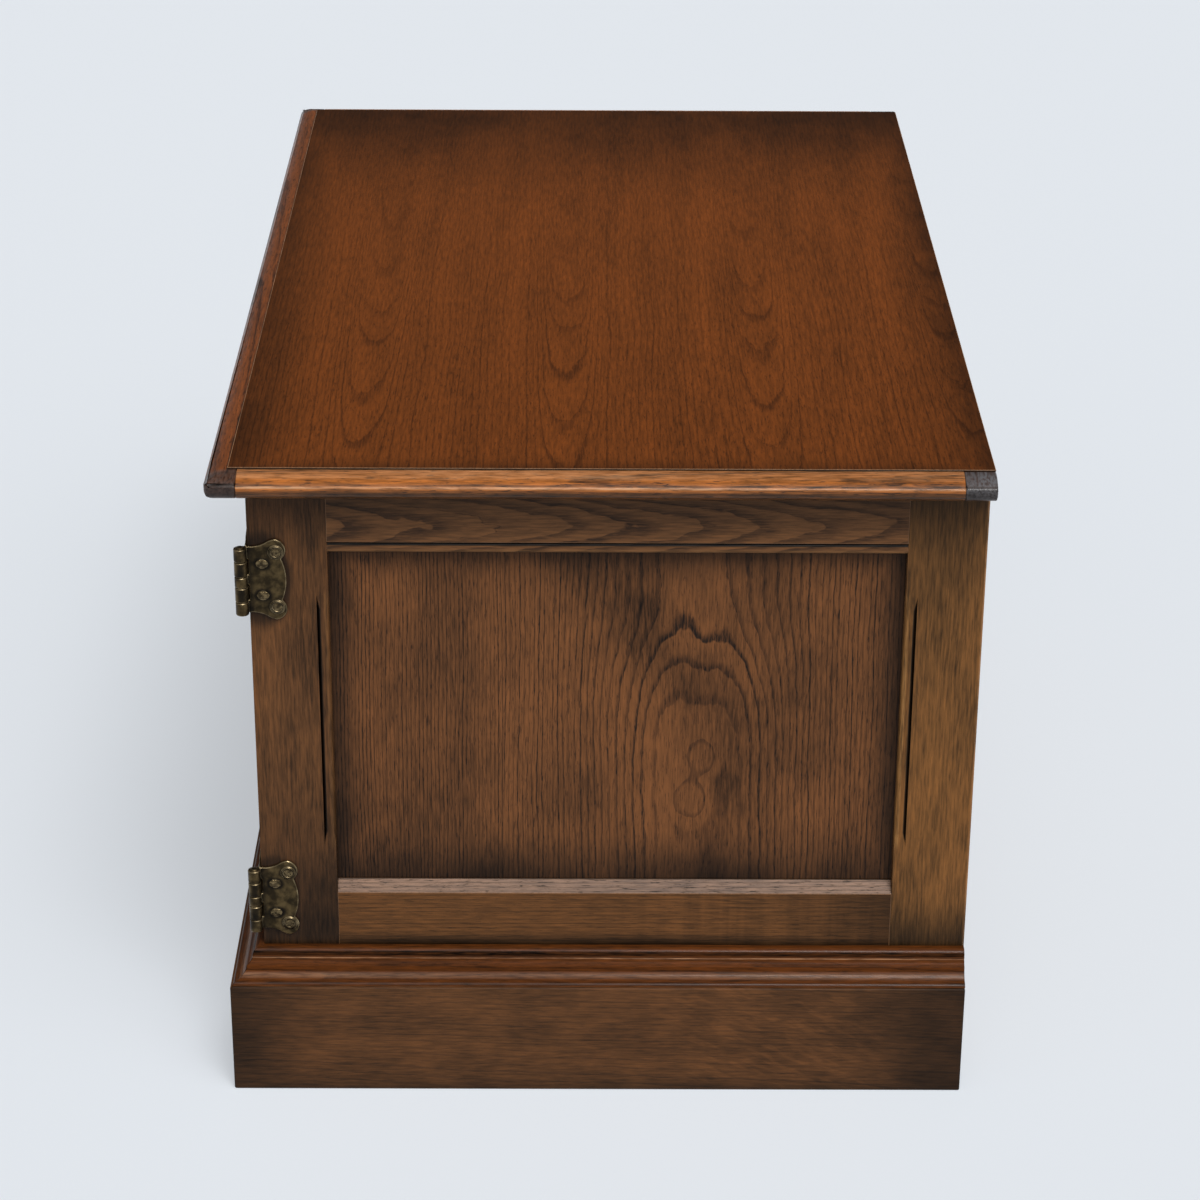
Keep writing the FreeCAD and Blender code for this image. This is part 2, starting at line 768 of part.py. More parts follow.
def top():
    """A veneered board with solid lippings: the front and back ones run through, the end ones butt between."""
    board_end = "(top_end - lipping_width)"
    veneer_end = "(top_end - end_thumb_width)"
    upper = "veneer_base"
    nose = "veneer_base - thumb_drop"
    under = f"carcass_height + {ROUND_SHARE} * nose_radius"
    thumb_in = f"{THUMB_SHARES[0]} * thumb_width"
    end_thumb_in = f"{THUMB_SHARES[0]} * end_thumb_width"
    thumb_fall = f"veneer_base - {THUMB_SHARES[1]} * thumb_drop"

    def moulded_edge(side):
        """The thumb and nose of an edge that faces +X or -X, from the underside to the veneer."""
        def across(inset):
            return f"{side} * (top_end - ({inset}))"
        return [
            (across("nose_radius"), "carcass_height"),
            ((across(f"{ROUND_SHARE} * nose_radius"), under), (across(0), "carcass_height + nose_radius")),
            (across(0), nose),
            ((across(end_thumb_in), thumb_fall), (across("end_thumb_width"), upper)),
        ]

    def other_way(steps):
        """The same outline drawn from its other end."""
        ends = [step[-1] if isinstance(step[0], tuple) else step for step in steps]
        back = [ends[-1]]
        for index in range(len(steps) - 1, 0, -1):
            arc = isinstance(steps[index][0], tuple)
            back.append((steps[index][0], ends[index - 1]) if arc else ends[index - 1])
        return back

    through = moulded_edge(1) + other_way(moulded_edge(-1))
    front_run = ("top_front", "top_front + lipping_width")
    back_run = ("top_back - lipping_width", "top_back")
    keep(prism("top_back_lipping", "XZ", through, back_run))
    front_edge = [
        ("top_front + lipping_width", upper),
        ("top_front + lipping_width", "carcass_height"),
        ("top_front + nose_radius", "carcass_height"),
        ((f"top_front + {ROUND_SHARE} * nose_radius", under), ("top_front", "carcass_height + nose_radius")),
        ("top_front", nose),
        ((f"top_front + {thumb_in}", thumb_fall), ("top_front + thumb_width", upper)),
    ]
    plan = [(f"{side} * top_end", "top_front + lipping_width") for side in (1, -1)]
    for side in (-1, 1):
        flank = (f"{side} * top_end", "top_front + corner_radius")
        middle = (f"{side} * (top_end - {ROUND_SHARE} * corner_radius)", f"top_front + {ROUND_SHARE} * corner_radius")
        front = (f"{side} * (top_end - corner_radius)", "top_front")
        plan += [flank, (middle, front)] if side < 0 else [front, (middle, flank)]
    moulded = doc.addObject("Part::Common", "top_front_lipping_moulded")
    moulded.Base = prism("top_front_lipping_run", "XZ", through, front_run)
    moulded.Tool = prism("top_front_lipping_edge", "YZ", front_edge, ("-top_end", "top_end"))
    lipping = doc.addObject("Part::Common", "top_front_lipping")
    lipping.Base = moulded
    lipping.Tool = prism("top_front_lipping_plan", "XY", plan, ("carcass_height", "veneer_base"))
    keep(lipping)
    for hand, side in HANDS.items():
        inner = f"{side} * {board_end}"
        section = moulded_edge(side) + [(inner, upper), (inner, "carcass_height")]
        keep(prism(f"top_{hand}_lipping", "XZ", section, (front_run[1], back_run[0])))
    core = block("top_board_core", (f"-{board_end}", board_end), (front_run[1], back_run[0]),
                 ("carcass_height", "veneer_base"))
    veneer = block("top_board_veneer", (f"-{veneer_end}", veneer_end), ("top_front + thumb_width", "top_back"),
                   ("veneer_base", "top_face"))
    keep(cut("top_board", fuse("top_board_body", [core, veneer]), [top_screw_holes("top_board_screw_holes")]))


def plinth():
    """Boards planted round the foot of the carcass with a moulding on top, mitred at the front corners."""
    outer = "(end_face + plinth_thickness)"
    ahead = "front_face - plinth_thickness"
    keep(prism("plinth_front", "XY", [
        (outer, ahead), ("end_face", "front_face"), ("-end_face", "front_face"), (f"-{outer}", ahead),
    ], (0, "plinth_height")))
    profile = mapped(MOULDING_SHARES, lambda out, up: (
        f"{out} * moulding_depth", f"plinth_height + {up} * moulding_height"))
    height = ("plinth_height - overrun", "moulding_top + overrun")
    past = "(moulding_depth + overrun)"
    waste = []
    for hand, side in HANDS.items():
        mitre = (f"{side} * end_face", "front_face")
        tip = (f"{side} * (end_face + {past})", f"front_face - {past}")
        waste.append(prism(f"moulding_{hand}_waste", "XY", [
            mitre, tip, (f"{side} * (end_face + {past})", "front_face")], height))
        keep(prism(f"plinth_{hand}", "XY", [
            (f"{side} * {outer}", ahead),
            (f"{side} * {outer}", "back_face"),
            (f"{side} * end_face", "back_face"),
            (f"{side} * end_face", "front_face"),
        ], (0, "plinth_height")))
        section = mapped(profile, lambda out, up: (f"{side} * (end_face + {out})", up))
        length = prism(f"base_moulding_{hand}_length", "XZ", section, (f"front_face - {past}", "back_face"))
        corner = prism(f"base_moulding_{hand}_waste", "XY", [
            mitre, tip, (f"{side} * end_face", f"front_face - {past}")], height)
        beyond = block(f"base_moulding_{hand}_beyond",
                       ordered(f"{side} * (end_face - overrun)", f"{side} * end_face"),
                       (f"front_face - {past}", "front_face"), height)
        keep(cut(f"base_moulding_{hand}", length, [corner, beyond]))
    section = mapped(profile, lambda out, up: (f"front_face - {out}", up))
    length = prism("base_moulding_front_length", "YZ", section, (f"-(end_face + {past})", f"end_face + {past}"))
    keep(cut("base_moulding_front", length, waste))

    inner = "(end_face - frame_thickness)"
    rear = "(inner_back - plinth_back_thickness)"
    keep(block("plinth_back", (f"-{inner}", inner), (rear, "inner_back"), (0, "board_base")))
    blocks = []
    for hand, side in HANDS.items():
        across = ordered(f"{side} * {inner}", f"{side} * ({inner} - block_size)")
        for place, forward in (("front", ("front_face", "front_face + block_size")),
                               ("back", (f"{rear} - block_size", rear))):
            blocks.append(block(f"plinth_block_{hand}_{place}", across, forward,
                                ("plinth_height - block_height", "plinth_height")))
    group = doc.addObject("Part::Compound", "plinth_blocks")
    group.Links = blocks
    keep(group)


def leaf(framing, name, middle, knuckles, holes):
    """A butterfly leaf: a scrolled plate rolled into knuckles, with raised eyes round its outer screws."""
    plate = prism(
        f"{name}_plate", framing.flat,
        mapped(LEAF_SHARES, lambda along, up: (
            framing.from_axis(leaf_place(middle, along, up)[0]), leaf_place(middle, along, up)[1])),
        framing.outward(0, "leaf_thickness"))
    pieces = [plate]
    axis = (f"{framing.side} * axis_across", "axis_forward")
    foot = f"({middle}) - barrel_height / 2"
    for index in knuckles:
        low = f"{foot} + {sum(KNUCKLE_SHARES[:index])} * barrel_height + barrel_gap / 2"
        size = f"{KNUCKLE_SHARES[index]} * barrel_height - barrel_gap"
        pieces.append(upright(f"{name}_knuckle_{index}", "Part::Cylinder", *axis, low,
                              {"Radius": "knuckle_radius", "Height": size}))
        roll = ordered(framing.from_axis(0), framing.from_axis("leaf_root + barrel_gap"))
        thick = framing.outward(0, "leaf_thickness")
        x, y = (thick, roll) if framing.flat == "YZ" else (roll, thick)
        pieces.append(block(f"{name}_roll_{index}", x, y, (low, f"{low} + {size}")))
    out = FreeCAD.Vector(*framing.inward()) * -1
    eyes = [Part.makeCylinder(number("boss_radius"), number("boss_height"),
                              framing.seat(*leaf_place(middle, *share)), out) for share in EAR_SCREW_SHARES]
    pieces.append(solids(f"{name}_eyes", eyes))
    wells = [Part.makeCylinder(number("hinge_screw_head + joint_clearance"), number("boss_height + overrun"),
                               framing.seat(*leaf_place(middle, *share)), out) for share in EAR_SCREW_SHARES]
    bore = upright(f"{name}_bore", "Part::Cylinder", *axis, f"{foot} - overrun",
                   {"Radius": "pin_radius + pin_clearance", "Height": "barrel_height + 2 * overrun"})
    keep(cut(name, fuse(f"{name}_body", pieces), [bore, holes, solids(f"{name}_wells", wells)]))


def hinge_pins(hand, side):
    """The pins of one door's hinges, headed over at both ends."""
    pins = []
    axis = (f"{side} * axis_across", "axis_forward")
    for level, middle in hinge_middles().items():
        foot = f"({middle}) - barrel_height / 2 + barrel_gap / 2"
        head = f"({middle}) + barrel_height / 2 - barrel_gap / 2"
        name = f"{hand}_{level}_pin"
        shank = upright(f"{name}_shank", "Part::Cylinder", *axis, f"{foot} - pin_head_height / 2", {
            "Radius": "pin_radius", "Height": "barrel_height - barrel_gap + pin_head_height"})
        lower = upright(f"{name}_foot", "Part::Cone", *axis, f"{foot} - pin_head_height", {
            "Radius1": "pin_radius", "Radius2": "pin_head_radius", "Height": "pin_head_height"})
        upper = upright(f"{name}_head", "Part::Cone", *axis, head, {
            "Radius1": "pin_head_radius", "Radius2": "pin_radius", "Height": "pin_head_height"})
        pins.append(fuse(name, [shank, lower, upper]))
    group = doc.addObject("Part::Compound", f"{hand}_hinge_pins")
    group.Links = pins
    keep(group)


def door(hand, hinge_holes, pull_holes):
    """A framed door whose hinge stile is mitred to the end."""
    framing = DoorFraming(hand)
    height = ("door_base", "door_top")
    lower_top = "door_base + door_bottom_rail_height"
    upper_base = "door_top - door_top_rail_height"
    inner = "meeting_edge - stile_width"
    bottom_tenon = ("door_base + tenon_haunch", f"{lower_top} - groove_depth")
    top_tenon = (f"{upper_base} + groove_depth", "door_top - tenon_haunch")
    opening = (lower_top, upper_base)
    stile(framing, f"{hand}_door_hinge_stile", [
        ("door_edge", 0),
        ("door_edge + door_thickness", "door_thickness"),
        ("hinge_edge", "door_thickness"),
        *panel_groove("hinge_edge", -1),
        ("hinge_edge", 0),
    ], "hinge_edge", -1, height, (bottom_tenon, top_tenon), opening, [hinge_holes])
    stile(framing, f"{hand}_door_meeting_stile", [
        (inner, 0),
        ("meeting_edge", 0),
        ("meeting_edge", "door_thickness"),
        (inner, "door_thickness"),
        *panel_groove(inner, 1),
    ], inner, 1, height, (bottom_tenon, top_tenon), opening, [pull_holes])
    run = ("hinge_edge", inner)
    rail(framing, f"{hand}_door_top_rail",
         beaded_rail_section(upper_base, "door_top", "door_thickness"), run, top_tenon,
         (f"{upper_base} + groove_depth", "door_top"))
    rail(framing, f"{hand}_door_bottom_rail",
         chamfered_rail_section("door_base", lower_top, "door_thickness"), run, bottom_tenon,
         ("door_base", f"{lower_top} - groove_depth"))
    panel(framing, f"{hand}_door_panel", run, *opening)


def pull_screw_seats(side):
    return [vector(f"{side} * pull_across", "door_face - pull_plate_thickness",
                   f"door_middle + {share} * pull_plate_height / 2") for share in PLATE_SCREW_SHARES]


def pull(hand, side, holes):
    """A drop pull: a cast plate with a fork, a pin riveted through it, and a pear drop."""
    centre = f"{side} * pull_across"
    plate = prism(
        f"{hand}_pull_casting", "XZ",
        mapped(PLATE_SHARES, lambda across, up: (
            f"{centre} + {across} * pull_plate_width / 2", f"door_middle + {up} * pull_plate_height / 2")),
        ("door_face - pull_plate_thickness", "door_face"))
    pieces = [plate]
    axis = "(door_face - pull_reach)"
    root = "door_face - pull_plate_thickness / 2"
    for way in (-1, 1):
        near = f"{centre} + {way} * fork_gap / 2"
        cheek = prism(f"{hand}_pull_cheek", "YZ", [
            (root, "door_middle - fork_radius"),
            (root, "door_middle + fork_radius"),
            (axis, "door_middle + fork_radius"),
            ((f"{axis} - fork_radius", "door_middle"), (axis, "door_middle - fork_radius")),
        ], ordered(near, f"{near} + {way} * fork_cheek"))
        pieces.append(cheek)
    half = number("fork_gap / 2 + fork_cheek")
    clearance = number("joint_clearance")
    along = FreeCAD.Vector(1, 0, 0)
    start = vector(centre, axis, "door_middle") - along * half
    pin_hole = Part.makeCylinder(number("pull_pin_radius") + clearance, 2 * half, start, along)
    pin = Part.makeCylinder(number("pull_pin_radius"), 2 * half, start, along)
    casting = cut(f"{hand}_pull_plate_casting", fuse(f"{hand}_pull_plate_body", pieces),
                  [holes, solids(f"{hand}_pull_pin_hole", [pin_hole])])
    group = doc.addObject("Part::Compound", f"{hand}_pull_plate")
    group.Links = [casting, solids(f"{hand}_pull_pin", [pin])]
    keep(group)

    body = doc.addObject("PartDesign::Body", f"{hand}_pull_drop_pear")
    turned = body.newObject("PartDesign::Revolution", f"{hand}_pull_drop_turned")
    profile = outline(body, "XZ", 0, mapped(DROP_SHARES, lambda out, up: (
        f"{out} * drop_radius", f"{up} * drop_length")))
    turned.Profile = profile
    turned.ReferenceAxis = (profile, ["V_Axis"])
    body.Tip = turned
    width = number("fork_gap / 2") - 2 * number("joint_clearance")
    eye = Part.makeCylinder(number("drop_eye_radius"), 2 * width, -along * width, along)
    bore = Part.makeCylinder(number("pull_pin_radius + pin_clearance"), 2 * half, -along * half, along)
    drop = cut(f"{hand}_pull_drop", fuse(f"{hand}_pull_drop_body", [body, solids(f"{hand}_pull_eye", [eye])]),
               [solids(f"{hand}_pull_drop_bore", [bore])])
    for place, text in zip("xyz", (centre, axis, "door_middle")):
        drop.setExpression(f"Placement.Base.{place}", bound(text))
    keep(drop)


def catches():
    """A double magnetic catch under the front rail, and the plate on each door that it holds."""
    front = "door_back + strike_thickness + catch_gap"
    keep(block("magnetic_catch", ("-catch_length / 2", "catch_length / 2"),
               (front, f"{front} + catch_depth"), ("tie_rail_base - catch_height", "tie_rail_base")))
    low = "door_top - door_gap - strike_height"
    for hand, side in HANDS.items():
        middle = f"{side} * catch_length / 4"
        keep(block(f"{hand}_strike_plate", (f"{middle} - strike_width / 2", f"{middle} + strike_width / 2"),
                   ("door_back", "door_back + strike_thickness"), (low, f"{low} + strike_height")))


end_screws = []
for hand, side in HANDS.items():
    end_framing = EndFraming(hand)
    door_framing = DoorFraming(hand)
    end_holes = screw_holes(end_framing, f"{hand}_end_hinge_holes")
    door_holes = screw_holes(door_framing, f"{hand}_door_hinge_holes")
    pull_hole = screw("hinge", False, number("joint_clearance"))
    pull_holes = solids(f"{hand}_pull_holes", driven(pull_hole, pull_screw_seats(side), (0, 1, 0)))
    end(hand, end_holes)
    door(hand, door_holes, pull_holes)
    for level, middle in hinge_middles().items():
        leaf(end_framing, f"{hand}_{level}_end_leaf", middle, (0, 2, 4), end_holes)
        leaf(door_framing, f"{hand}_{level}_door_leaf", middle, (1, 3), door_holes)
    hinge_pins(hand, side)
    pull(hand, side, pull_holes)
    end_screws += driven(screw("hinge", True), leaf_seats(end_framing), end_framing.inward())
    keep(solids(f"{hand}_door_screws", driven(
        screw("hinge", True), leaf_seats(door_framing) + pull_screw_seats(side), (0, 1, 0))))
keep(solids("end_hinge_screws", end_screws))
carcass_boards()
top()
plinth()
catches()

doc.recompute()
failed = [item.Label for item in doc.Objects if {"Invalid", "Error"} & set(item.State)]
failed += [piece.Label for piece in subparts if piece.Shape.isNull() or not piece.Shape.isValid()]
if failed:
    raise SystemExit(f"these objects failed to build: {failed}")
os.makedirs("parts", exist_ok=True)
for piece in subparts:
    piece.Shape.exportStep(f"parts/{piece.Label}.step")
box = FreeCAD.BoundBox()
for piece in subparts:
    box.add(piece.Shape.BoundBox)
print(f"{len(subparts)} sub-parts, {box.XLength:.1f} x {box.YLength:.1f} x {box.ZLength:.1f} mm")
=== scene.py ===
import json
import math
import bmesh
import bpy
from mathutils import Matrix, Vector

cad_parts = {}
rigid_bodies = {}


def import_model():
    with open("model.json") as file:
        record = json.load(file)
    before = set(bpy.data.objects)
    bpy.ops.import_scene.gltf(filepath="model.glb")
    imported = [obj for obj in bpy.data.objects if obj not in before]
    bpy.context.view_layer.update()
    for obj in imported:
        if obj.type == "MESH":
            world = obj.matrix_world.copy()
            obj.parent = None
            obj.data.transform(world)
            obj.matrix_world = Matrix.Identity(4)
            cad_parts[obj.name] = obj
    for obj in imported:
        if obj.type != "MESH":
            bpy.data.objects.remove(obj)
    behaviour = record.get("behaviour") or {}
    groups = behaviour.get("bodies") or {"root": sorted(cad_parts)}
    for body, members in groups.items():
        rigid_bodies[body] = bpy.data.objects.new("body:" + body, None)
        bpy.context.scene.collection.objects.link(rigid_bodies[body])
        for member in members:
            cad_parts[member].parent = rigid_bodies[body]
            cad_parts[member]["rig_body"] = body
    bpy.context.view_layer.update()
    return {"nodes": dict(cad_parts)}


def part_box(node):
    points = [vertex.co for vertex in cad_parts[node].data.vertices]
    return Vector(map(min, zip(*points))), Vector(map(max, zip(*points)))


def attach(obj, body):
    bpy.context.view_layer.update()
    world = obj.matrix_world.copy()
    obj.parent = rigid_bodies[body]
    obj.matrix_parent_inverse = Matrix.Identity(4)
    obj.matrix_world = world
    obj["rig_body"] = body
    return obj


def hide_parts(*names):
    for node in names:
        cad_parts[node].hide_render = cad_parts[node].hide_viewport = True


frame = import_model()

# The uprights of the two ends
# Solid oak stiles that run from the floor to the top, ploughed for the panel and mortised for the rails.
# They are stained dark, glazed and waxed; the crests of their beads are painted paler, as wear and highlight.
HANDS = ("right", "left")
END_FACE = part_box("right_front_stile")[1][0]

# How a board's own axes (along its grain, across its face, through it) lie in the cupboard.
GRAIN_TURNS = {
    "lengthwise, flat": (0, 0, 0),
    "lengthwise, on the front": (90, 0, 0),
    "front to back, on an end": (-90, -90, 0),
    "upright, on an end": (0, 90, 0),
    "upright, on the front": (90, 0, 90),
}


def fill(tree, inputs, values):
    """Inputs set to values or joined to sockets, each by its name or number."""
    for key, value in values.items():
        if isinstance(value, bpy.types.NodeSocket):
            tree.links.new(value, inputs[key])
        else:
            inputs[key].default_value = value


def join(tree, kind, values, **settings):
    """A node with its settings made and its inputs filled."""
    node = tree.nodes.new(kind)
    for name, setting in settings.items():
        setattr(node, name, setting)
    fill(tree, node.inputs, values)
    return node


def in_use(sockets):
    """The sockets that a node's settings leave in use, by name."""
    return {socket.name: socket for socket in sockets if socket.enabled}


def reckon(tree, operation, *terms):
    """One step of arithmetic on sockets and numbers."""
    return join(tree, "ShaderNodeMath", dict(enumerate(terms)), operation=operation).outputs[0]


def reckon_vector(tree, operation, *terms):
    """One step of arithmetic on vectors."""
    node = join(tree, "ShaderNodeVectorMath", dict(enumerate(terms)), operation=operation)
    return node.outputs["Value" if operation in ("LENGTH", "DOT_PRODUCT") else "Vector"]


def split(tree, vector):
    """The X, Y and Z of a vector."""
    return join(tree, "ShaderNodeSeparateXYZ", {0: vector}).outputs


def combine(tree, **axes):
    """A vector made from its X, Y and Z."""
    return join(tree, "ShaderNodeCombineXYZ", axes).outputs[0]


def fade(tree, value, low, high, start=0.0, finish=1.0):
    """A value carried smoothly from one level to another as it passes between two limits."""
    return join(tree, "ShaderNodeMapRange", {
        "Value": value, "From Min": low, "From Max": high, "To Min": start, "To Max": finish,
    }, interpolation_type="SMOOTHSTEP").outputs["Result"]


def mottle(tree, place, per_metre, detail=2.0):
    """Noise with its own number of patches to the metre along each axis."""
    stretched = join(tree, "ShaderNodeMapping", {"Vector": place, "Scale": per_metre}).outputs["Vector"]
    return join(tree, "ShaderNodeTexNoise", {
        "Vector": stretched, "Scale": 1.0, "Detail": detail, "Roughness": 0.55,
    }).outputs["Fac"]


def blend_colours(tree, share, first, second, kind="MIX"):
    """A share of the second colour laid over the first."""
    node = join(tree, "ShaderNodeMix", {}, data_type="RGBA", blend_type=kind)
    fill(tree, in_use(node.inputs), {"Factor": share, "A": first, "B": second})
    return in_use(node.outputs)["Result"]


def effect(name, inputs, outputs):
    """An empty node group with named sockets, and its two ends."""
    tree = bpy.data.node_groups.new(name, "ShaderNodeTree")
    for label, kind in inputs.items():
        tree.interface.new_socket(label, in_out="INPUT", socket_type=kind)
    for label, kind in outputs.items():
        tree.interface.new_socket(label, in_out="OUTPUT", socket_type=kind)
    return tree, tree.nodes.new("NodeGroupInput").outputs, tree.nodes.new("NodeGroupOutput").inputs


NUMBER, VECTOR, COLOUR = "NodeSocketFloat", "NodeSocketVector", "NodeSocketColor"

# Patches to the metre along a board, across its face and through it.
SLOW_SWAY, QUICK_SWAY = (4.5, 14, 14), (60, 130, 130)
PORE_DASHES, LOOSE_PORES = (95, 1300, 1300), (130, 1150, 1150)
STREAKS, FIBRES = (5, 42, 42), (62, 700, 700)

QUICK_SHARE = 0.18
FAINTEST_RING = 0.35
BAND_FULL, NEXT_BAND = 0.05, 0.94
DASH_LIMITS, PORE_LIMITS = (0.36, 0.54), (0.56, 0.67)


def make_oak_figure():
    """Growth rings round a heart line, drawn as the bands of dark pores that a cut board shows."""
    tree, given, made = effect(
        "oak_figure",
        {"Board": VECTOR, "Heart": VECTOR, "Ring": NUMBER, "Rise": NUMBER, "Wander": NUMBER, "Bulge": NUMBER,
         "Band": NUMBER, "Pores": NUMBER},
        {"Line": NUMBER, "Tone": NUMBER, "Fibre": NUMBER})
    board = given["Board"]
    apart = split(tree, reckon_vector(tree, "SUBTRACT", board, given["Heart"]))
    squares = [reckon(tree, "MULTIPLY", apart[axis], apart[axis]) for axis in ("Y", "Z")]
    reach = reckon(tree, "SQRT", reckon(tree, "ADD", *squares))
    slow = reckon(tree, "SUBTRACT", mottle(tree, board, SLOW_SWAY), 0.5)
    quick = reckon(tree, "SUBTRACT", mottle(tree, board, QUICK_SWAY), 0.5)
    sway = reckon(tree, "MULTIPLY", given["Wander"], reckon(tree, "MULTIPLY_ADD", quick, QUICK_SHARE, slow))
    climbed = reckon(tree, "MULTIPLY_ADD", given["Rise"], split(tree, board)["X"], reach)
    swept = reckon(tree, "ADD", climbed, reckon(tree, "ADD", sway, given["Bulge"]))
    rings = reckon(tree, "DIVIDE", swept, given["Ring"])
    share = reckon(tree, "FRACT", rings)
    whole = reckon(tree, "FLOOR", rings)
    chance = join(tree, "ShaderNodeTexWhiteNoise", {"W": whole}, noise_dimensions="1D").outputs["Value"]
    strong = reckon(tree, "MULTIPLY_ADD", chance, 1 - FAINTEST_RING, FAINTEST_RING)
    early = reckon(tree, "MAXIMUM", fade(tree, share, BAND_FULL, given["Band"], 1.0, 0.0),
                   fade(tree, share, NEXT_BAND, 1.0))
    dashes = fade(tree, mottle(tree, board, PORE_DASHES), *DASH_LIMITS)
    loose = fade(tree, mottle(tree, board, LOOSE_PORES, 3.0), *PORE_LIMITS)
    broken = reckon(tree, "MULTIPLY", reckon(tree, "MULTIPLY", early, strong),
                    reckon(tree, "MULTIPLY_ADD", dashes, 0.5, 0.5))
    line = reckon(tree, "MULTIPLY_ADD", loose, given["Pores"], broken)
    fill(tree, made, {
        "Line": reckon(tree, "MINIMUM", line, 1.0), "Tone": mottle(tree, board, STREAKS, 3.0),
        "Fibre": mottle(tree, board, FIBRES, 4.0)})
    return tree


FLECK_SHARE, DARKEST = 0.3, 0.04
FULL_SHADE, LEFT_IN_SHADE = 1.25, 0.05
END_GRAIN_LIMITS, LEFT_ON_ENDS = (0.45, 0.8), 0.22
GLAZE_POWERS = (1.0, 0.9, 0.75)
PORE_DULLNESS, FIBRE_HEIGHT = 0.16, 0.25


def make_stain():
    """Stain over the figure: dark in the pores, uneven along the board and nearly black on end grain."""
    tree, given, made = effect(
        "stain",
        {"Pale": COLOUR, "Dark": COLOUR, "Line": NUMBER, "Tone": NUMBER, "Fibre": NUMBER, "Depth": NUMBER,
         "Unevenness": NUMBER, "Hair": NUMBER, "Fleck": NUMBER, "End Grain": NUMBER, "Shade": NUMBER,
         "Dullness": NUMBER},
        {"Color": COLOUR, "Roughness": NUMBER, "Height": NUMBER})
    line = reckon(tree, "MULTIPLY", given["Line"], given["Depth"])
    wood = blend_colours(tree, line, given["Pale"], given["Dark"])
    streak = reckon(tree, "MULTIPLY", reckon(tree, "SUBTRACT", given["Tone"], 0.5), given["Unevenness"])
    hair = reckon(tree, "MULTIPLY", reckon(tree, "SUBTRACT", given["Fibre"], 0.5), given["Hair"])
    level = reckon(tree, "ADD", 1.0, reckon(tree, "ADD", streak, hair))
    level = reckon(tree, "MAXIMUM", reckon(tree, "MULTIPLY_ADD", given["Fleck"], FLECK_SHARE, level), DARKEST)
    shaded = fade(tree, given["Shade"], 0.0, FULL_SHADE, 1.0, LEFT_IN_SHADE)
    soaked = fade(tree, given["End Grain"], *END_GRAIN_LIMITS, 1.0, LEFT_ON_ENDS)
    level = reckon(tree, "MULTIPLY", reckon(tree, "MULTIPLY", level, shaded), soaked)
    layers = {index: reckon(tree, "POWER", level, power) for index, power in enumerate(GLAZE_POWERS)}
    glaze = join(tree, "ShaderNodeCombineColor", layers).outputs[0]
    sunk = reckon(tree, "MULTIPLY", line, -1.0)
    fill(tree, made, {
        "Color": blend_colours(tree, 1.0, wood, glaze, "MULTIPLY"),
        "Roughness": reckon(tree, "MULTIPLY_ADD", line, PORE_DULLNESS, given["Dullness"]),
        "Height": reckon(tree, "MULTIPLY_ADD", given["Fibre"], FIBRE_HEIGHT, sunk)})
    return tree


SHADE_PATCHES, THINNEST_SHADE = (12, 12, 12), 0.75


def make_shaded_border():
    """How near a place is to the sides of a box, from 1 on a side to 0 beyond that side's reach."""
    tree, given, made = effect(
        "shaded_border",
        {"Place": VECTOR, "Low": VECTOR, "High": VECTOR, "Low Reach": VECTOR, "High Reach": VECTOR},
        {"Shade": NUMBER})
    shade = 0.0
    for first, second, reach in (("Place", "Low", "Low Reach"), ("High", "Place", "High Reach")):
        gap = reckon_vector(tree, "SUBTRACT", given[first], given[second])
        for side in split(tree, reckon_vector(tree, "DIVIDE", gap, given[reach])):
            shade = reckon(tree, "MAXIMUM", shade, fade(tree, side, 0.0, 1.0, 1.0, 0.0))
    uneven = fade(tree, mottle(tree, given["Place"], SHADE_PATCHES, 3.0), 0.25, 0.7, THINNEST_SHADE, 1.0)
    fill(tree, made, {"Shade": reckon(tree, "MULTIPLY", shade, uneven)})
    return tree


OAK_FIGURE = make_oak_figure()
STAIN = make_stain()
SHADED_BORDER = make_shaded_border()


def lay(tree, group, values):
    """A shared effect with its inputs filled."""
    return join(tree, "ShaderNodeGroup", values, node_tree=group).outputs


def bare_material(name):
    """A material with only its shader, and the place on the piece that its patterns read."""
    material = bpy.data.materials.new(name)
    material.use_nodes = True
    tree = material.node_tree
    shader = next(node for node in tree.nodes if node.type == "BSDF_PRINCIPLED")
    return material, tree, shader, tree.nodes.new("ShaderNodeTexCoord").outputs


def stripe(tree, spot, axis, low, high, soft, strength=1.0):
    """A mask at its strength between two places along an axis, which fades out over a softness at each."""
    along = split(tree, spot)[axis]
    return reckon(tree, "MULTIPLY", fade(tree, along, low - soft, low + soft),
                  fade(tree, along, high - soft, high + soft, strength, 0.0))


# The painted shadow round each hinge leaf on the ends.
HALO_DEPTH, HALO_LIMITS, HALO_SHADE = 0.012, (0.95, 1.55), 0.9


def leaf_shadow(tree, spot, leaf):
    """The painted shadow round a hinge's leaf: a dark oval on the outer faces of both ends."""
    low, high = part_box(leaf)
    middle = (END_FACE, (low[1] + high[1]) / 2, (low[2] + high[2]) / 2)
    spread = (1 / HALO_DEPTH, 2 / (high[1] - low[1]), 2 / (high[2] - low[2]))
    axes = split(tree, spot)
    either_end = combine(tree, X=reckon(tree, "ABSOLUTE", axes["X"]), Y=axes["Y"], Z=axes["Z"])
    gap = reckon_vector(tree, "MULTIPLY", reckon_vector(tree, "SUBTRACT", either_end, middle), spread)
    return fade(tree, reckon_vector(tree, "LENGTH", gap), *HALO_LIMITS, HALO_SHADE, 0.0)


